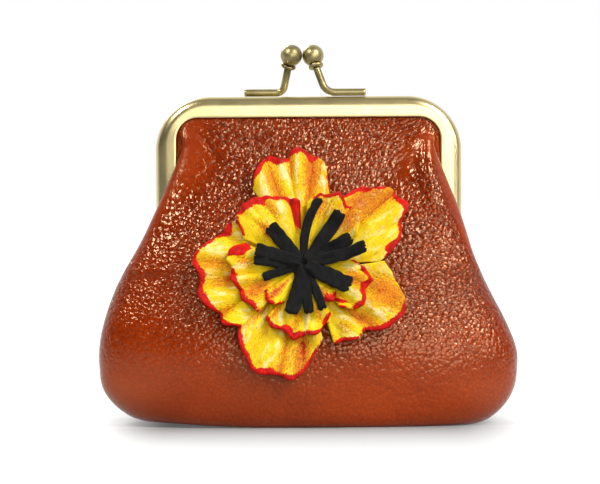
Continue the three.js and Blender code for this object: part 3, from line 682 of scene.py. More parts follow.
def leather_material():
    """Glossy pebble-grained leather: rounded cells, with shade painted darker into the creases between them.
    """
    s = Shader("pebbled_leather")
    place = s.place()
    spot = s.attribute("grain_place", "Vector")
    warp = s.vector("SUBTRACT", s.noise(spot, 0.7, output="Color"), (0.5, 0.5, 0.5))
    bent = s.vector("ADD", spot, s.stretched(warp, (1.2, 1.2, 1.2)))
    cell = s.voronoi(bent, PEBBLES_PER_MM)
    edge = s.voronoi(bent, PEBBLES_PER_MM, "DISTANCE_TO_EDGE")
    small = s.voronoi(bent, FINE_PEBBLES_PER_MM)
    dome = s.minus(1.0, s.math("POWER", s.times(cell, 1.35), 2.0))
    swell = s.noise(spot, 0.3, 1)
    lumps = s.plus(s.times(dome, 0.5), s.times(swell, 0.5))
    lumps = s.minus(lumps, s.times(s.math("POWER", small, 2.0), 0.12))
    grain = s.attribute("grain")
    height = s.times(lumps, grain)
    pores = s.noise(place, 3.4, 2)
    height = s.plus(height, s.times(pores, 0.01))
    tone = s.noise(place, 0.07, 3)
    drawn = s.mix(s.step(tone, 0.3, 0.7), rgb(156, 50, 4), rgb(170, 58, 6))
    grained = s.mix(s.step(tone, 0.3, 0.7), rgb(132, 38, 3), rgb(150, 46, 5))
    base = s.mix(s.step(grain, 0.2, 0.9), drawn, grained)
    # Painted shade: the leather is made darker towards the top of the bag
    base = s.mix(s.step(s.split(place)["Z"], 30.0, 84.0, 0.0, 0.35), base, rgb(92, 26, 4))
    # Painted shade: the leather is darkened in the grooves of the folds
    base = s.mix(s.times(s.attribute("hollow"), 0.8), base, rgb(84, 22, 3))
    # Painted shade: the creases between the cells are darkened as if they lay in shadow
    gap = s.step(edge, 0.0, 0.2, 1.0, 0.0)
    crease_shade = s.times(gap, s.times(grain, 0.75))
    colour = s.mix(crease_shade, base, rgb(58, 13, 4))
    inside = s.step(s.attribute("face_side"), -0.6, -0.9)
    colour = s.mix(inside, colour, rgb(150, 104, 72))
    s.set(Base_Color=colour, Normal=s.bump(height, 0.4))
    s.set(Roughness=s.step(grain, 0.1, 0.6, 0.265, 0.13))
    s.set(Specular_IOR_Level=0.8, Specular_Tint=(1.0, 0.65, 0.4, 1.0))
    return s.material


def lining_material():
    """Plain woven cotton."""
    s = Shader("woven_lining")
    place = s.place()
    threads = [s.node("ShaderNodeTexWave", {"bands_direction": axis}, Vector=place, Scale=1.1).outputs["Fac"]
               for axis in ("X", "Z")]
    weave = s.times(*threads)
    colour = s.mix(weave, rgb(62, 34, 22), rgb(98, 60, 40))
    colour = s.mix(s.times(s.noise(place, 0.3, 3), 0.4), colour, rgb(58, 30, 20))
    s.set(Base_Color=colour, Roughness=0.92, Normal=s.bump(weave, 0.08))
    s.set(Sheen_Weight=0.25, Sheen_Roughness=0.5)
    return s.material


def brass_material(name, bright, dark, patina, roughness):
    """Antique brass: worn metal with darker patina in patches and fine handling marks."""
    s = Shader(name)
    place = s.place()
    patches = s.noise(place, 0.22, 1, 0.5)
    specks = s.noise(place, 2.4, 3, 0.6)
    age = s.plus(s.times(patches, 0.96), s.times(specks, 0.04))
    stain = s.times(s.step(age, 0.35, 0.75), patina)
    s.set(Base_Color=s.mix(stain, bright, dark), Metallic=1.0)
    s.set(Roughness=s.step(age, 0.3, 0.75, roughness - 0.02, roughness + 0.03))
    s.set(Normal=s.bump(specks, 0.0006))
    return s.material


def paper_material():
    """Twisted kraft paper."""
    s = Shader("kraft_paper")
    place = s.place()
    fibres = s.noise(s.stretched(place, (2.0, 6.0, 2.0)), 1.5, 4)
    s.set(Base_Color=s.mix(fibres, rgb(150, 118, 78), rgb(206, 178, 132)), Roughness=0.95)
    s.set(Normal=s.bump(fibres, 0.06))
    return s.material


def petal_material():
    """Leather painted yellow, with dry-brushed orange stains, orange also painted as shade in the pleats'
    valleys, painted highlights of pale cream on the ridges, and a broken red rim.
    """
    s = Shader("painted_petal")
    place = s.attribute("petal_place", "Vector")
    rim = s.attribute("rim")
    pleat = s.attribute("pleat")
    cloud = s.noise(place, 0.16, 3)
    streak = s.noise(s.stretched(place, (0.35, 2.3, 1.0)), 1.0, 4, 0.6)
    brush = s.noise(s.stretched(place, (0.9, 2.0, 1.0)), 1.7, 5, 0.75)
    blots = s.noise(place, 0.55, 4, 0.6)
    yellow = s.mix(s.step(cloud, 0.35, 0.65), rgb(236, 194, 4), rgb(244, 216, 12))
    pool = s.noise(s.stretched(place, (0.25, 0.8, 1.0)), 1.0, 3)
    # Painted highlight: pale cream on the ridges of the pleats, where light would catch them
    cream_highlight = s.times(s.attribute("pale"), s.step(pool, 0.46, 0.62))
    yellow = s.mix(s.times(cream_highlight, 0.9), yellow, rgb(254, 244, 190))
    # Orange: real stains, and painted shade in the valleys of the pleats
    dry = s.step(s.plus(brush, s.times(pleat, 0.2)), 0.55, 0.62)
    ochre_and_fold_shade = s.times(dry, s.step(s.plus(pleat, s.times(cloud, 0.4)), 0.2, 0.55))
    colour = s.mix(s.times(ochre_and_fold_shade, 0.8), yellow, rgb(218, 104, 20))
    soak_and_fold_shade = s.times(s.step(pleat, 0.4, 1.3), 0.1)
    colour = s.mix(soak_and_fold_shade, colour, rgb(226, 120, 20))
    sore = s.step(s.plus(s.times(blots, 0.8), s.times(pleat, 0.26)), 0.74, 0.82)
    colour = s.mix(s.times(sore, dry), colour, rgb(206, 48, 12))
    hairs = s.step(s.math("ABSOLUTE", s.minus(streak, 0.5)), 0.0, 0.03, 1.0, 0.0)
    hairs = s.times(hairs, s.step(blots, 0.5, 0.64, 0.0, 0.5))
    colour = s.mix(hairs, colour, rgb(146, 78, 12))
    fleck = s.plus(s.noise(place, 2.8, 2), s.times(pleat, 0.09))
    flecks = s.times(s.step(fleck, 0.64, 0.7), 0.7)
    colour = s.mix(flecks, colour, rgb(120, 62, 12))
    ragged = s.times(s.minus(s.plus(brush, blots), 1.0), 1.8)
    red = s.step(s.minus(ragged, rim), -0.1, 0.12)
    colour = s.mix(red, colour, s.mix(s.step(blots, 0.35, 0.65), rgb(176, 4, 2), rgb(218, 14, 6)))
    under = s.step(s.attribute("face_side"), -0.5, -0.8)
    colour = s.mix(s.times(under, 0.8), colour, rgb(168, 40, 22))
    wrinkles = s.plus(s.times(streak, 0.7), s.times(brush, 0.4))
    s.set(Base_Color=colour, Roughness=s.step(brush, 0.3, 0.7, 0.28, 0.48), Normal=s.bump(wrinkles, 0.5))
    s.set(Specular_IOR_Level=0.2)
    return s.material


def suede_material():
    """Black suede: a short soft nap with a faint grey sheen."""
    s = Shader("black_suede")
    place = s.place()
    nap = s.noise(place, 5.5, 4, 0.7)
    brushed = s.noise(s.stretched(place, (1.0, 1.0, 0.4)), 0.9, 3)
    colour = s.mix(s.step(brushed, 0.4, 0.7), rgb(7, 7, 8), rgb(19, 19, 22))
    s.set(Base_Color=colour, Roughness=0.75, Normal=s.bump(nap, 0.16))
    s.set(Specular_IOR_Level=0.2, Sheen_Weight=0.06, Sheen_Roughness=0.4)
    return s.material


MATERIALS = {
    "leather": leather_material(),
    "lining": lining_material(),
    "frame_brass": brass_material("frame_brass", rgb(222, 206, 154), rgb(204, 186, 132), 0.1, 0.3),
    "knob_brass": brass_material("knob_brass", rgb(172, 160, 114), rgb(84, 73, 48), 0.7, 0.42),
    "paper": paper_material(),
    "petal": petal_material(),
    "suede": suede_material(),
}


# Leather bag

def rim_curve(columns):
    """The leather's edge along the frame as (share across, height): up an arm, along the bar and down."""
    u = np.linspace(0, 1, columns)
    corners = [0, RIM_ARM_SHARE, 1 - RIM_ARM_SHARE, 1]
    share = np.interp(u, corners, [-1, -1, 1, 1])
    height = np.interp(u, corners, [HINGE_HEIGHT, RIM_HEIGHT, RIM_HEIGHT, HINGE_HEIGHT])
    return share, height


def bag_depth(z):
    fall = 1 - np.clip((z - LEATHER / 2) / (BELLY_HEIGHT - LEATHER / 2), 0, 1)
    low = lerp(BASE_DEPTH / 2, BAG_DEPTH / 2, np.sqrt(1 - fall ** 2))
    rise = np.clip((z - BELLY_HEIGHT) / (RIM_HEIGHT - BELLY_HEIGHT), 0, 1)
    return np.where(z < BELLY_HEIGHT, low, lerp(BAG_DEPTH / 2, RIM_DEPTH, rise ** DEPTH_POWER))


def rim_edge(z):
    """Half width of the leather's edge inside the frame at a height."""
    radius = INNER_CORNER_RADIUS - (RIM_INSET - BAR_HEIGHT)
    above = np.clip(z - INNER_CORNER_Z, 0, radius)
    curved = INNER_CORNER_X + np.sqrt(radius ** 2 - above ** 2)
    return np.where(z > INNER_CORNER_Z, curved, FRAME_HALF - RIM_INSET)


def parting(z):
    """0 where the side seam is sewn, 1 where the frame parts the panels."""
    return smoothstep(z, PARTING_START, PARTING_END)


def bag_surface(share, height):
    """A point of the front half: share across from -1 to 1, and height, which is below 0 on the base."""
    spread = np.clip(1 + height / BASE_ROW, 0, 1)
    z = np.maximum(height, LEATHER / 2)
    side = np.where(share < 0, -1.0, 1.0)
    s = np.abs(share)
    level_width = through(HALF_WIDTHS, z)
    width = lerp(BASE_SEAM_HALF, level_width, spread)
    depth = lerp(SEAM_DEPTH / 2, bag_depth(z), spread)
    edge_depth = np.minimum(lerp(SEAM_DEPTH, RIM_DEPTH, parting(z)), depth)
    sewn = lerp(level_width - SEAM_VALLEY, rim_edge(z), smoothstep(z, BELLY_HEIGHT / 2, HINGE_HEIGHT))
    edge_width = lerp(BASE_SEAM_HALF + SEAM_VALLEY, sewn, spread)
    middle = lerp(edge_depth, depth, FOLD_SHARE)
    angle = np.clip(s / FOLD_START, 0, 1) * np.pi / 2
    front_x = width * np.sin(angle) ** (2 / SECTION_POWER)
    front_y = middle + (depth - middle) * np.clip(np.cos(angle), 0, 1) ** (2 / SECTION_POWER)
    w = np.clip((s - FOLD_START) / (1 - FOLD_START), 0, 1)
    slant = (width - edge_width) / (middle - edge_depth + LEATHER)
    roundness = smoothstep(slant, FOLD_ROUND_START, FOLD_ROUND_END)
    inwards = lerp(w * w, 1 - np.cos(w * np.pi / 2), roundness)
    backwards = lerp(w, np.sin(w * np.pi / 2), roundness)
    fold = s > FOLD_START
    x = np.where(fold, lerp(width, edge_width, inwards), front_x)
    y = np.where(fold, lerp(middle, edge_depth, backwards), front_y)
    return np.stack([side * x, -y, z], axis=-1)


def stroke(x, z, line, width):
    """A ridge or groove along a line of (x, z, lift), fading sideways over a width."""
    nearest = np.full(x.shape, np.inf)
    lift = np.zeros(x.shape)
    for (x0, z0, lift0), (x1, z1, lift1) in zip(line[:-1], line[1:]):
        dx, dz = x1 - x0, z1 - z0
        share = np.clip(((x - x0) * dx + (z - z0) * dz) / (dx * dx + dz * dz), 0, 1)
        gap = np.hypot(x - x0 - share * dx, z - z0 - share * dz)
        lift = np.where(gap < nearest, lerp(lift0, lift1, share), lift)
        nearest = np.minimum(gap, nearest)
    return lift * np.exp(-(nearest / width) ** 2)


def leather_folds(points, seed):
    """How far the leather swells forward where the frame's corners gather it, and how much shade is painted
    into its grooves there.
    """
    x, y, z = np.moveaxis(points, -1, 0)
    free = smoothstep(-y, *FOLD_FREE)
    total = sum(stroke(x, z, line, width) for line, width in FOLDS)
    swell = SWELL_HEIGHT * ripple(seed, SWELL_LENGTH, x, z)
    # Painted shade: the deeper a groove sinks, the darker its leather is painted
    hollow = np.clip(-HOLLOW_SHADE_GAIN * total - HOLLOW_SHADE_LIMIT, 0, 1)
    return (total + swell) * free, hollow * free


def grain_place(points):
    """Where the grain is read: pulled towards the frame's corners, so that its cells stretch that way."""
    moved = points.copy()
    for side in (-1, 1):
        corner = np.array([side * INNER_HALF, -RIM_DEPTH, INNER_TOP])
        away = points - corner
        distance = np.linalg.norm(away, axis=-1, keepdims=True)
        near = 1 - smoothstep(distance, *PULL_FADE)
        pulled = PULL_MIDDLE + (distance - PULL_MIDDLE) / PULL_STRETCH
        moved += near * (pulled - distance) * away / np.maximum(distance, 1)
    return moved


def leather_grid(seed, lean_side):
    """The front half's leather from the bottom seam to the rim, and on into the channel."""
    columns, rows = LEATHER_COLUMNS, LEATHER_ROWS
    share_top, height_top = rim_curve(columns)
    v = np.linspace(0, 1, rows)[:, None]
    share = lerp(np.linspace(-1, 1, columns)[None], share_top[None], v)
    height = lerp(-BASE_ROW, height_top[None], v)
    points = bag_surface(share, height)
    lift, hollow = leather_folds(points, seed)
    points[..., 1] -= lift
    rim = points[-1]
    across, above = np.abs(rim[:, 0]) - INNER_CORNER_X, rim[:, 2] - INNER_CORNER_Z
    slope = np.arctan2(np.maximum(above, 0), np.maximum(across, 1e-6))
    slope = np.where(across <= 0, np.pi / 2, slope)
    outwards = np.stack([np.sign(rim[:, 0]) * np.cos(slope), np.zeros(columns), np.sin(slope)], axis=1)
    held = smoothstep(rim[:, 2], *HEM_HELD)[:, None]
    hem = []
    for reach, depth in HEM_ROWS:
        row = rim + outwards * reach * held
        row[:, 1] = lerp(rim[:, 1], -depth, held[:, 0])
        hem.append(row)
    grid = np.concatenate([points, np.stack(hem)])
    hollow = np.concatenate([hollow, np.zeros((len(hem), columns))])
    x, z = lean_side * grid[..., 0], grid[..., 2]
    grid[..., 0] += lean_side * through(LEAN, z)
    low = 1 - smoothstep(z, 0, CORNER_LIFT_TOP)
    grid[..., 2] += CORNER_LIFT * smoothstep(-x, *CORNER_LIFT_ACROSS) * low
    return grid, hollow


def leather_panel(half):
    rear = half == "rear"
    grid, hollow = leather_grid(LEATHER_SEEDS[half], -1 if rear else 1)
    x, z = grid[..., 0], grid[..., 2]
    grain = lerp(LOW_GRAIN, 1.0, smoothstep(z, *LOW_GRAIN_HEIGHTS))
    low_left = (1 - smoothstep(x, *LEFT_GRAIN_ACROSS)) * (1 - smoothstep(z, *LEFT_GRAIN_HEIGHTS))
    grain = grain * (1 - LEFT_GRAIN_LOSS * low_left)
    for line, width in SMOOTH_PLACES:
        grain = grain * (1 - stroke(x, z, line, width))
    side = np.abs(x - through(LEAN, z)) / through(HALF_WIDTHS, z)
    upper = smoothstep(z, *SIDE_GRAIN_START) * (1 - smoothstep(z, *SIDE_GRAIN_END))
    grain = grain * (1 - SIDE_GRAIN_LOSS * smoothstep(side, *SIDE_GRAIN_SHARES) * upper)
    per_point = {"grain": grain, "hollow": hollow, "grain_place": grain_place(grid)}
    shape = closed_sheet(grid, LEATHER, per_point=per_point)
    made = make_object(f"{half}_leather", shape, MATERIALS["leather"], rear)
    follow_frame(made)
    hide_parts(f"{half}_panel", f"{half}_hem")
    return grid


def lining_panel(half, leather):
    inner = slice(LINING_FIRST_COLUMN, -LINING_FIRST_COLUMN, LINING_STEP)
    grid = leather[LINING_FIRST_ROW:-len(HEM_ROWS):LINING_STEP, inner]
    grid = grid - grid_normals(grid) * (LEATHER / 2 + LINING_INSET - LINING / 2)
    parted = smoothstep(grid[:, :1, 2], HINGE_HEIGHT - EAR_RADIUS, HINGE_HEIGHT + EAR_RADIUS)
    grid[:, [0, -1], 1] = lerp(LINING / 4, grid[:, [0, -1], 1], parted)
    shape = closed_sheet(grid, LINING, edge_steps=1)
    made = make_object(f"{half}_lining_cloth", shape, MATERIALS["lining"], half == "rear")
    follow_frame(made)
    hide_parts(f"{half}_lining")


# Brass frame

def frame_line(radius, inset, end):
    """Points (x, z) along the frame, inset from its outer edge, from the left arm's end to the right's."""
    half, top = FRAME_HALF - inset, FRAME_TOP - inset
    arm = np.stack([np.full(ARM_STEPS, -half), np.linspace(end, top - radius, ARM_STEPS)], axis=1)
    angle = np.linspace(0, np.pi / 2, CORNER_STEPS)
    corner = np.stack([-half + radius * (1 - np.cos(angle)), top - radius * (1 - np.sin(angle))], axis=1)
    bar = np.stack([np.linspace(radius - half, 0, ARM_STEPS), np.full(ARM_STEPS, top)], axis=1)
    left = np.concatenate([arm[:-1], corner, bar[1:]])
    return np.concatenate([left, left[-2::-1] * np.array([-1, 1])])


def swept_on_frame(section, end):
    """A closed section (forward, inwards) swept along the frame, with its ends capped."""
    outer = frame_line(CORNER_RADIUS, 0, end)
    inner = frame_line(INNER_CORNER_RADIUS, BAR_HEIGHT, end)
    forward, inwards = np.asarray(section, float).T
    flat = lerp(outer[:, None], inner[:, None], (inwards / BAR_HEIGHT)[None, :, None])
    x, z = flat[..., 0], flat[..., 1]
    left = 1 - smoothstep(outer[:, :1], *ARM_TWIST_ACROSS)
    low = 1 - smoothstep(outer[:, 1:], *ARM_TWIST_HEIGHTS)
    tilt = (inwards / BAR_HEIGHT - 0.5) * (forward > CHANNEL_FRONT / 2)
    grid = np.stack([x, -forward[None] - ARM_TWIST * tilt[None] * (left * low), z], axis=-1)
    rows, columns = x.shape
    first = np.arange(columns)[None]
    last = first[:, ::-1] + (rows - 1) * columns
    return grid.reshape(-1, 3), [grid_faces(rows, columns, around=True), first, last]


def arc(middle, radii, start, end, steps):
    """Points of a round or oval arc, from and to an angle in degrees."""
    wide, high = np.broadcast_to(radii, 2)
    angle = np.radians(np.linspace(start, end, steps + 1))
    return [(middle[0] + wide * math.cos(a), middle[1] + high * math.sin(a)) for a in angle]


def channel_section():
    """The stamped channel as (forward, inwards): a flat face, an oval shoulder and rolled lips."""
    front, back, wall, lip = CHANNEL_FRONT, CHANNEL_BACK, CHANNEL_WALL, LIP_ROUND
    shoulder, inner, rear_round = (SHOULDER_DEPTH, SHOULDER_HEIGHT), INNER_SHOULDER, REAR_ROUND
    face = np.linspace(SHOULDER_HEIGHT, BAR_HEIGHT - lip, 5)[1:-1]
    section = arc((back + rear_round, rear_round), rear_round, 180, 270, 6)
    section += arc((front - SHOULDER_DEPTH, SHOULDER_HEIGHT), shoulder, 270, 360, 22)
    section += [(front, inwards) for inwards in face]
    section += arc((front - lip, BAR_HEIGHT - lip), lip, 0, 90, 4)
    section += arc((front - wall + lip, BAR_HEIGHT - lip), lip, 90, 180, 4)
    section += arc((front - wall - inner[0], wall + inner[1]), inner, 0, -90, 8)
    section += [(back + wall, wall)]
    section += arc((back + wall - lip, BAR_HEIGHT - lip), lip, 0, 90, 4)
    section += arc((back + lip, BAR_HEIGHT - lip), lip, 90, 180, 4)
    return section


def ear_plate(side, inner_x):
    """The flattened end of an arm that carries the hinge rivet."""
    height = np.concatenate([HINGE_HEIGHT - EAR_RADIUS * np.cos(np.linspace(0.06, np.pi / 2, 9)),
                             np.linspace(HINGE_HEIGHT, ARM_END + EAR_OVERLAP, 13)[1:]])
    rise = smoothstep(height, HINGE_HEIGHT, ARM_END)
    chord = np.sqrt(np.maximum(EAR_RADIUS ** 2 - np.minimum(height - HINGE_HEIGHT, 0) ** 2, 0.01))
    arm_middle = (CHANNEL_BACK + CHANNEL_FRONT) / 2
    middle = -arm_middle * rise
    half = lerp(chord, arm_middle - CHANNEL_BACK - CHANNEL_WALL / 2, rise)
    y = middle[:, None] + half[:, None] * np.linspace(-1, 1, 7)
    x = np.full(y.shape, side * (inner_x + EAR_THICKNESS / 2))
    grid = np.stack([x, y, np.broadcast_to(height[:, None], y.shape)], axis=-1)
    return closed_sheet(grid, EAR_THICKNESS)[:2]


def frame_channel(half):
    parts = [swept_on_frame(channel_section()[::-1], ARM_END)]
    parts += [ear_plate(side, EAR_X[half]) for side in (-1, 1)]
    made = make_object(f"{half}_frame", joined(parts), MATERIALS["frame_brass"], half == "rear", sharp=40)
    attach(made, f"{half}_frame")
    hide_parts(f"{half}_frame_channel")


def paper_cord(half):
    inwards = CHANNEL_WALL + 2 * SEAT_GAP + PAPER_RADIUS
    forward = CHANNEL_BACK + CHANNEL_WALL + SEAT_GAP + PAPER_RADIUS
    line = frame_line(CORNER_RADIUS - inwards, inwards, PAPER_END)
    path = np.stack([line[:, 0], np.full(len(line), -forward), line[:, 1]], axis=1)
    lengths = np.concatenate([[0], np.cumsum(np.linalg.norm(np.diff(path, axis=0), axis=1))])
    even = np.linspace(0, lengths[-1], PAPER_STEPS)
    path = np.stack([np.interp(even, lengths, path[:, i]) for i in range(3)], axis=1)
    radii = np.full(len(path), PAPER_RADIUS * PAPER_CORE_SHARE)
    shape = tube(path, radii, 12, PAPER_STRANDS, PAPER_FLUTE, PAPER_TURNS)
    made = make_object(f"{half}_paper", shape, MATERIALS["paper"], half == "rear")
    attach(made, f"{half}_frame")
    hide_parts(f"{half}_paper_cord")


def hinge_rivet(name, side):
    """A rivet along X through both ears, with a domed head at each end."""
    start = EAR_X["front"] - SEAT_GAP
    end = EAR_X["rear"] + EAR_THICKNESS + SEAT_GAP
    dome = np.radians(np.linspace(0, 90, 9))
    head = [(RIVET_HEAD_RADIUS * math.sin(a), RIVET_HEAD_HEIGHT * math.cos(a)) for a in dome]
    profile = [(r, start - h) for r, h in head]
    profile += [(RIVET_RADIUS, start), (RIVET_RADIUS, end)]
    profile += [(r, end + h) for r, h in head[::-1]]
    points, faces = revolved(profile, np.array([0, 0, HINGE_HEIGHT]), (1, 0, 0), 32)
    shape = points * np.array([side, side, 1]), faces
    made = make_object(name, shape, MATERIALS["knob_brass"], sharp=40)
    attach(made, "rear_frame")
    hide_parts(name.replace("_pin", "_rivet"))


# Knobs

def filleted(start, corner, end, radius, steps):
    """A path from start to end with a round bend at corner."""
    a, b = unit(start - corner), unit(end - corner)
    half = math.acos(np.dot(a, b)) / 2
    reach = radius / math.tan(half)
    middle = corner + unit(a + b) * radius / math.sin(half)
    first, last = corner + a * reach - middle, corner + b * reach - middle
    total = math.pi - 2 * half
    t = np.linspace(0, 1, steps)[:, None]
    bend = middle + (first * np.sin((1 - t) * total) + last * np.sin(t * total)) / math.sin(total)
    return np.concatenate([lerp(start, bend[0], np.linspace(0, 1, 14)[:-1, None]), bend,
                           lerp(bend[-1], end, np.linspace(0, 1, 10)[1:, None])])


def knob_parts(half):
    """Stem, collar and ball of a knob, as on the front half."""
    axis = unit(BALL_MIDDLE - KNOB_ROOT)
    seat = math.sqrt(BALL_RADIUS ** 2 - BALL_SEAT_RADIUS ** 2)
    collar = BALL_MIDDLE - axis * (seat + SEAT_GAP / 2 + COLLAR_HEIGHT / 2)
    top = collar - axis * COLLAR_HEIGHT / 2
    foot_y = -(CHANNEL_BACK + CHANNEL_FRONT) / 2
    foot_z = FRAME_TOP + SEAT_GAP / 2 + STEM_RADIUS
    foot, corner = (np.array([x[half], foot_y, foot_z]) for x in (STEM_FOOT_END, STEM_CORNER))
    path = filleted(foot, corner, top, STEM_BEND_RADIUS[half], 22)
    ends = unit(path[0] - path[1]) * STEM_BEVEL, unit(path[-1] - path[-2]) * STEM_BEVEL
    path = np.concatenate([[path[0]], [path[0] - ends[0]], path[1:-1], [path[-1] - ends[1]], [path[-1]]])
    radii = np.full(len(path), STEM_RADIUS)
    radii[[0, -1]] -= STEM_BEVEL
    ring = np.radians(np.linspace(-90, 90, 13))
    lip = COLLAR_HEIGHT / 2
    collar_profile = [(COLLAR_RADIUS - lip + lip * math.cos(a), lip * math.sin(a)) for a in ring]
    collar_profile = [(0, -lip), *collar_profile, (0, lip)]
    low = math.asin(-seat / BALL_RADIUS)
    arcs = np.linspace(low, math.pi / 2, 40)
    ball_profile = [(0, -seat)] + [(BALL_RADIUS * math.cos(a), BALL_RADIUS * math.sin(a)) for a in arcs[:-1]]
    ball_profile += [(0, BALL_RADIUS)]
    return {
        "stem": tube(path, radii, 28),
        "collar": revolved(collar_profile, collar, axis, 48),
        "ball": revolved(ball_profile, BALL_MIDDLE, axis, 64),
    }


def knob(half):
    rear = half == "rear"
    shift = np.array([-KNOB_SHIFT if rear else KNOB_SHIFT, 0, 0])
    for part, (points, faces) in knob_parts(half).items():
        made = make_object(f"{half}_{part}", (points + shift, faces), MATERIALS["knob_brass"], rear, sharp=50)
        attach(made, f"{half}_frame")
        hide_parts(f"{half}_knob_{part}")


# Flower

def front_depth(x, z):
    """Depth of the front leather's middle at a place on the front."""
    width = through(HALF_WIDTHS, z)
    depth = bag_depth(z)
    middle = lerp(lerp(SEAM_DEPTH, RIM_DEPTH, parting(z)), depth, FOLD_SHARE)
    share = np.minimum(np.abs(x - through(LEAN, z)) / width, 1) ** SECTION_POWER
    return -(middle + (depth - middle) * (1 - share) ** (1 / SECTION_POWER))


BELOW, ABOVE = (float(front_depth(FLOWER_X, FLOWER_HEIGHT + step)) for step in (-SLOPE_STEP, SLOPE_STEP))
FLOWER_OUT = unit(np.array([0.0, -2 * SLOPE_STEP, ABOVE - BELOW]))


def on_flower(radius, angle, height):
    """A point of the flower: polar place on the leather's front, and height off its outer face."""
    x = FLOWER_X + radius * np.cos(angle)
    z = FLOWER_HEIGHT + radius * np.sin(angle)
    return np.stack([x, front_depth(x, z), z], axis=-1) + FLOWER_OUT * (LEATHER / 2 + height)[..., None]


def petal_lift(layer, radius):
    lift = OUTER_CUP * (radius / OUTER_REACH) ** 2
    return lift if layer == "outer" else lift + INNER_CUP * (radius / INNER_REACH) ** 2


def even_steps(heights, u):
    """A smooth curve through heights at even steps, read at u from 0 to 1."""
    return through(list(zip(np.linspace(0, 1, len(heights)), heights)), u)


def petal_rim(reaches, u, seed):
    """The rim's reach from the flower's middle, and where it bulges (1) or dips (-1)."""
    reach = even_steps(reaches, u) + RAGGED * ripple(seed, RAGGED_LENGTH, u)
    padded = np.pad(reach, RIM_SMOOTHING // 2, mode="edge")
    bulge = reach - np.convolve(padded, np.ones(RIM_SMOOTHING) / RIM_SMOOTHING, mode="valid")
    return reach, bulge / max(np.abs(bulge).max(), 1e-6)


def red_paint(reds, dabs, u, v, inset, side, seed):
    """Distance from the red paint, below 0 inside it, by the distances from the rim and from the sides."""
    red = even_steps(reds, u) * np.clip(1 + RED_CHANGE * ripple(seed, RED_CHANGE_LENGTH, u), 0, 2)
    bare = RED_BARE * (1 - smoothstep(red, *RED_THIN))
    gap = np.minimum(inset - red + RED_OFFSET + bare, RED_SIDE_OFFSET + RED_SIDE_SLOPE * side)
    for across, outwards, wide, long in dabs:
        gap = gap - RED_DAB * np.exp(-((u - across) / wide) ** 4 - ((v - outwards) / long) ** 4)
    return gap


def petal(layer, number, outline, seed):
    """A ruffled petal: its rim rises and falls where the outline bulges and dips."""
    start, end, reaches, reds, pleats, stains = outline
    u = np.linspace(0, 1, PETAL_COLUMNS)
    v = np.linspace(0, 1, PETAL_ROWS)[:, None]
    reach, wave = petal_rim(reaches, u, seed)
    middle, half = math.radians((start + end) / 2), math.radians((end - start) / 2)
    angle = middle + (2 * u - 1) * half * lerp(PETAL_ROOT_SPREAD, 1, v ** 0.6)
    radius = lerp(PETAL_ROOT, reach, v)
    size = max(reaches) / OUTER_REACH
    ridge = sum(lift * np.exp(-((u - at) / wide) ** 2) for at, lift, wide in pleats if lift > 0)
    valley = sum(-lift * np.exp(-np.abs(u - at) / wide) for at, lift, wide in pleats if lift < 0)
    ruffle = (RUFFLE * wave + ridge - valley) * v ** 1.3
    curl = CURL * size * smoothstep(v, 0.8, 1.0) * ripple(seed + 2, CURL_LENGTH, u)
    creases = ripple(seed + 3, CREASE_LENGTH, u + 0.05 * np.sin(5 * v))
    creases = CREASES * size * creases * smoothstep(v, 0.2, 0.8)
    height = LAYER_HEIGHTS[layer] + petal_lift(layer, radius) + ruffle + curl - creases
    grid = on_flower(radius, angle, height)
    side = radius * np.minimum(u, 1 - u) * 2 * half
    stain = sum(amount * np.exp(-((u - across) / wide) ** 2 - ((v - outwards) / long) ** 2)
                for across, outwards, wide, long, amount in stains)
    place = np.stack([radius, radius * (angle - middle), np.full(radius.shape, seed * PAINT_SHIFT)], axis=-1)
    per_point = {
        "rim": red_paint(reds, RED_DABS.get((layer, number), []), u, v, reach - radius, side, seed + 4),
        # Listed orange stains, plus painted shade in the valleys of the pleats
        "pleat": stain + 0.4 * valley * smoothstep(v, 0.2, 0.7),
        # Painted highlight on the ridges of the pleats
        "pale": np.clip(ridge - valley, 0, 1) * smoothstep(v, 0.3, 0.8),
        "petal_place": place,
    }
    per_point = {key: values[:, ::-1] for key, values in per_point.items()}
    shape = closed_sheet(grid[:, ::-1], PETAL, 4, per_point)
    made = make_object(f"{layer}_petal_leaf_{number}", shape, MATERIALS["petal"])
    follow_frame(made)
    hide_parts(f"{layer}_petal_{number}")


def suede_strip(number, strip, seed):
    direction, width, reach, bend, twist = strip
    rows, columns = 26, 7
    v = np.linspace(0, 1, rows)[:, None]
    across = np.linspace(-1, 1, columns)[None]
    frayed = reach * (1 + STAMEN_FRAY * ripple(seed + 2, 0.9, across))
    radius = lerp(STAMEN_ROOT, frayed, v)
    half = width / 2 * lerp(STAMEN_NECK, 1.0, smoothstep(v, 0, 0.5)) * (1 + 0.05 * ripple(seed, 0.3, v))
    sideways = across * half + bend * v ** 2.4
    angle = math.radians(direction) + np.arctan2(sideways, radius)
    lift = STAMEN_HEIGHT + petal_lift("inner", radius) + STAMEN_LIFT * (radius / INNER_REACH) ** 2
    lift = lift + 1.5 * (1 - v) ** 3 + 0.5 * (seed % 3 - 1) * (1 - v)
    lift = lift + twist * across * half * v + STAMEN_WAVE * ripple(seed + 1, 0.6, v)
    lift = lift + STAMEN_CURL * np.abs(across) * ripple(seed, 0.8, v)
    grid = on_flower(radius, angle, lift)
    shape = closed_sheet(grid[:, ::-1], STAMEN, 2)
    made = make_object(f"suede_strip_{number}", shape, MATERIALS["suede"])
    follow_frame(made)
    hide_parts(f"stamen_{number}")


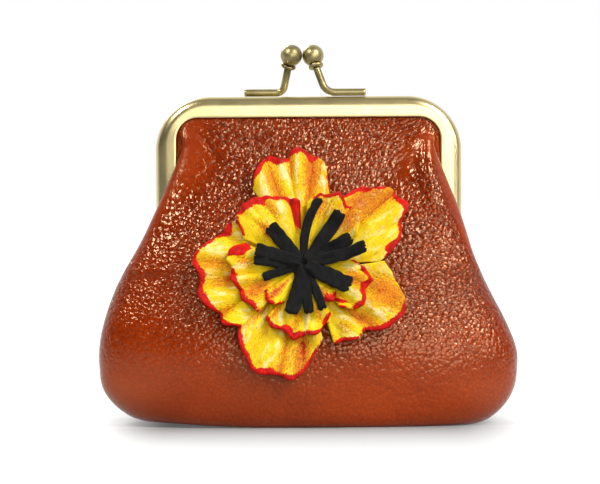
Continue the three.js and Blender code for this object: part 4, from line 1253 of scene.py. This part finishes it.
def suede_core():
    """The knot that the strips grow from: a pleated button."""
    rows, columns = 14, 72
    angle = np.linspace(0, 2 * np.pi, columns, endpoint=False)[None]
    polar = np.linspace(np.pi / 2, 0.04, rows)[:, None]
    pleats = 1 + 0.08 * np.cos(9 * angle + 0.7) * np.sin(polar)
    radius = CORE_RADIUS * np.sin(polar) * pleats
    height = CORE_HEIGHT + CORE_DOME * np.cos(polar) * (1 + 0.12 * np.cos(5 * angle))
    dome = on_flower(radius, np.broadcast_to(angle, radius.shape), height)
    ends = on_flower(np.zeros(2), np.zeros(2), CORE_HEIGHT + np.array([0, CORE_DOME]))
    made = make_object("suede_knot", capped(dome, ends), MATERIALS["suede"])
    follow_frame(made)
    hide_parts("stamen_core")


def flower_backing():
    """The leather disc that the petals are glued to."""
    rows, columns = 17, 17
    x, y = np.meshgrid(np.linspace(-1, 1, columns), np.linspace(-1, 1, rows))
    radius = BACKING_RADIUS * np.maximum(np.abs(x), np.abs(y))
    grid = on_flower(radius, np.arctan2(y, x), np.full(radius.shape, SEAT_GAP + BACKING / 2))
    per_point = {"grain": np.full(radius.shape, 0.4), "grain_place": grid}
    made = make_object("petal_backing", closed_sheet(grid, BACKING, 2, per_point), MATERIALS["leather"])
    follow_frame(made)
    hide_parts("flower_backing")


def flower():
    flower_backing()
    for layer, petals, seed in LAYERS:
        for number, outline in enumerate(petals, 1):
            petal(layer, number, outline, seed + SEED_STEP * number)
    suede_core()
    for number, strip in enumerate(STAMENS, 1):
        suede_strip(number, strip, STAMEN_SEED + number)


# Studio

def floor_material():
    """A white floor with a painted shadow around the purse, where its glow fades and the real shadow also
    shows; plain white further out.
    """
    s = Shader("white_floor")
    s.set(Base_Color=FLOOR_GREY, Roughness=0.9, Specular_IOR_Level=0.1)
    place = s.place()
    from_camera, mirrored = s.rays()
    mirrored = s.times(mirrored, s.step(s.split(place)["Y"], *MIRRORED_DEPTHS, MIRRORED_AHEAD, 1.0))
    seen = s.math("MAXIMUM", from_camera, mirrored)
    away = s.split(s.vector("ABSOLUTE", place))
    # Painted shadow: the white glow fades out over a patch around the purse's footprint
    deep = s.math("MAXIMUM", s.minus(away["Y"], SHADOW_DEPTH), 0.0)
    near = s.math("EXPONENT", s.math("DIVIDE", deep, -SHADOW_FADE))
    near = s.times(near, s.step(away["X"], *SHADOW_SIDES, SHADOW_SHARE, 0.0))
    glow = s.node("ShaderNodeEmission", Color=WHITE, Strength=s.times(seen, s.minus(1.0, near)))
    both = s.chain("ShaderNodeAddShader", {}, (s.surface.outputs[0], glow.outputs[0]))
    s.put(s.tree.nodes["Material Output"].inputs["Surface"], both)
    return s.material


def floor():
    corners = np.array([[-1, -1, 0], [1, -1, 0], [1, 1, 0], [-1, 1, 0]])
    shape = FLOOR_HALF * corners - CLOSING_PLANE, [np.array([[0, 1, 2, 3]])]
    made = make_object("floor", shape, floor_material())


def world():
    """White behind the purse; for light and reflections a room that is dim in front and overhead."""
    room = bpy.data.worlds.new("room")
    bpy.context.scene.world = room
    room.use_nodes = True
    room.node_tree.nodes.clear()
    s = Nodes(room.node_tree)
    direction = s.split(s.node("ShaderNodeTexCoord").outputs["Generated"])
    behind = s.step(direction["Y"], *ROOM_DEPTHS, *ROOM_LIGHT, "LINEAR")
    low = s.step(direction["Z"], *ROOM_HEIGHTS, 1.0, OVERHEAD_SHARE, "LINEAR")
    lit = s.node("ShaderNodeBackground", Color=s.times(behind, low))
    white = s.node("ShaderNodeBackground", Color=WHITE)
    from_camera, mirrored = s.rays()
    backdrop = s.times(mirrored, s.step(direction["Y"], *ROOM_DEPTHS))
    seen = s.math("MAXIMUM", from_camera, backdrop)
    both = s.chain("ShaderNodeMixShader", {}, (seen, lit.outputs[0], white.outputs[0]))
    s.node("ShaderNodeOutputWorld", Surface=both)


def lamps():
    """Soft rectangular lamps around the purse."""
    for name, place, size, power in LAMPS:
        data = bpy.data.lights.new(name, "AREA")
        data.shape = "RECTANGLE"
        data.size, data.size_y = size
        data.energy = power
        data.color = LAMP_COLOUR
        made = bpy.data.objects.new(name, data)
        made.location = place
        made.rotation_mode = "QUATERNION"
        made.rotation_quaternion = (Vector(LAMP_AIM) - Vector(place)).to_track_quat("-Z", "Y")
        bpy.context.scene.collection.objects.link(made)


def camera():
    data = bpy.data.cameras.new("camera")
    data.sensor_width = SENSOR_WIDTH
    data.lens = SENSOR_WIDTH * CAMERA_DISTANCE / (IMAGE_WIDTH * MM_PER_PIXEL)
    data.clip_start, data.clip_end = CLIP
    made = bpy.data.objects.new("camera", data)
    bpy.context.scene.collection.objects.link(made)
    aim = np.array([(IMAGE_WIDTH / 2 - MIDDLE_COLUMN) * MM_PER_PIXEL, 0.0,
                    (FLOOR_ROW - IMAGE_HEIGHT / 2) * MM_PER_PIXEL]) + CLOSING_PLANE
    rise = math.radians(CAMERA_ELEVATION)
    back = np.array([0.0, -math.cos(rise), math.sin(rise)])
    made.location = Vector((aim + back * CAMERA_DISTANCE) * MM)
    made.rotation_mode = "QUATERNION"
    roll = Quaternion((0, 0, 1), math.radians(CAMERA_ROLL))
    made.rotation_quaternion = Vector(-back).to_track_quat("-Z", "Y") @ roll
    bpy.context.scene.camera = made


def main():
    bpy.context.scene.view_settings.view_transform = "Standard"
    camera()
    world()
    lamps()
    floor()
    for half in ("front", "rear"):
        leather = leather_panel(half)
        lining_panel(half, leather)
        frame_channel(half)
        paper_cord(half)
        knob(half)
    hinge_rivet("right_hinge_pin", 1)
    hinge_rivet("left_hinge_pin", -1)
    flower()


main()
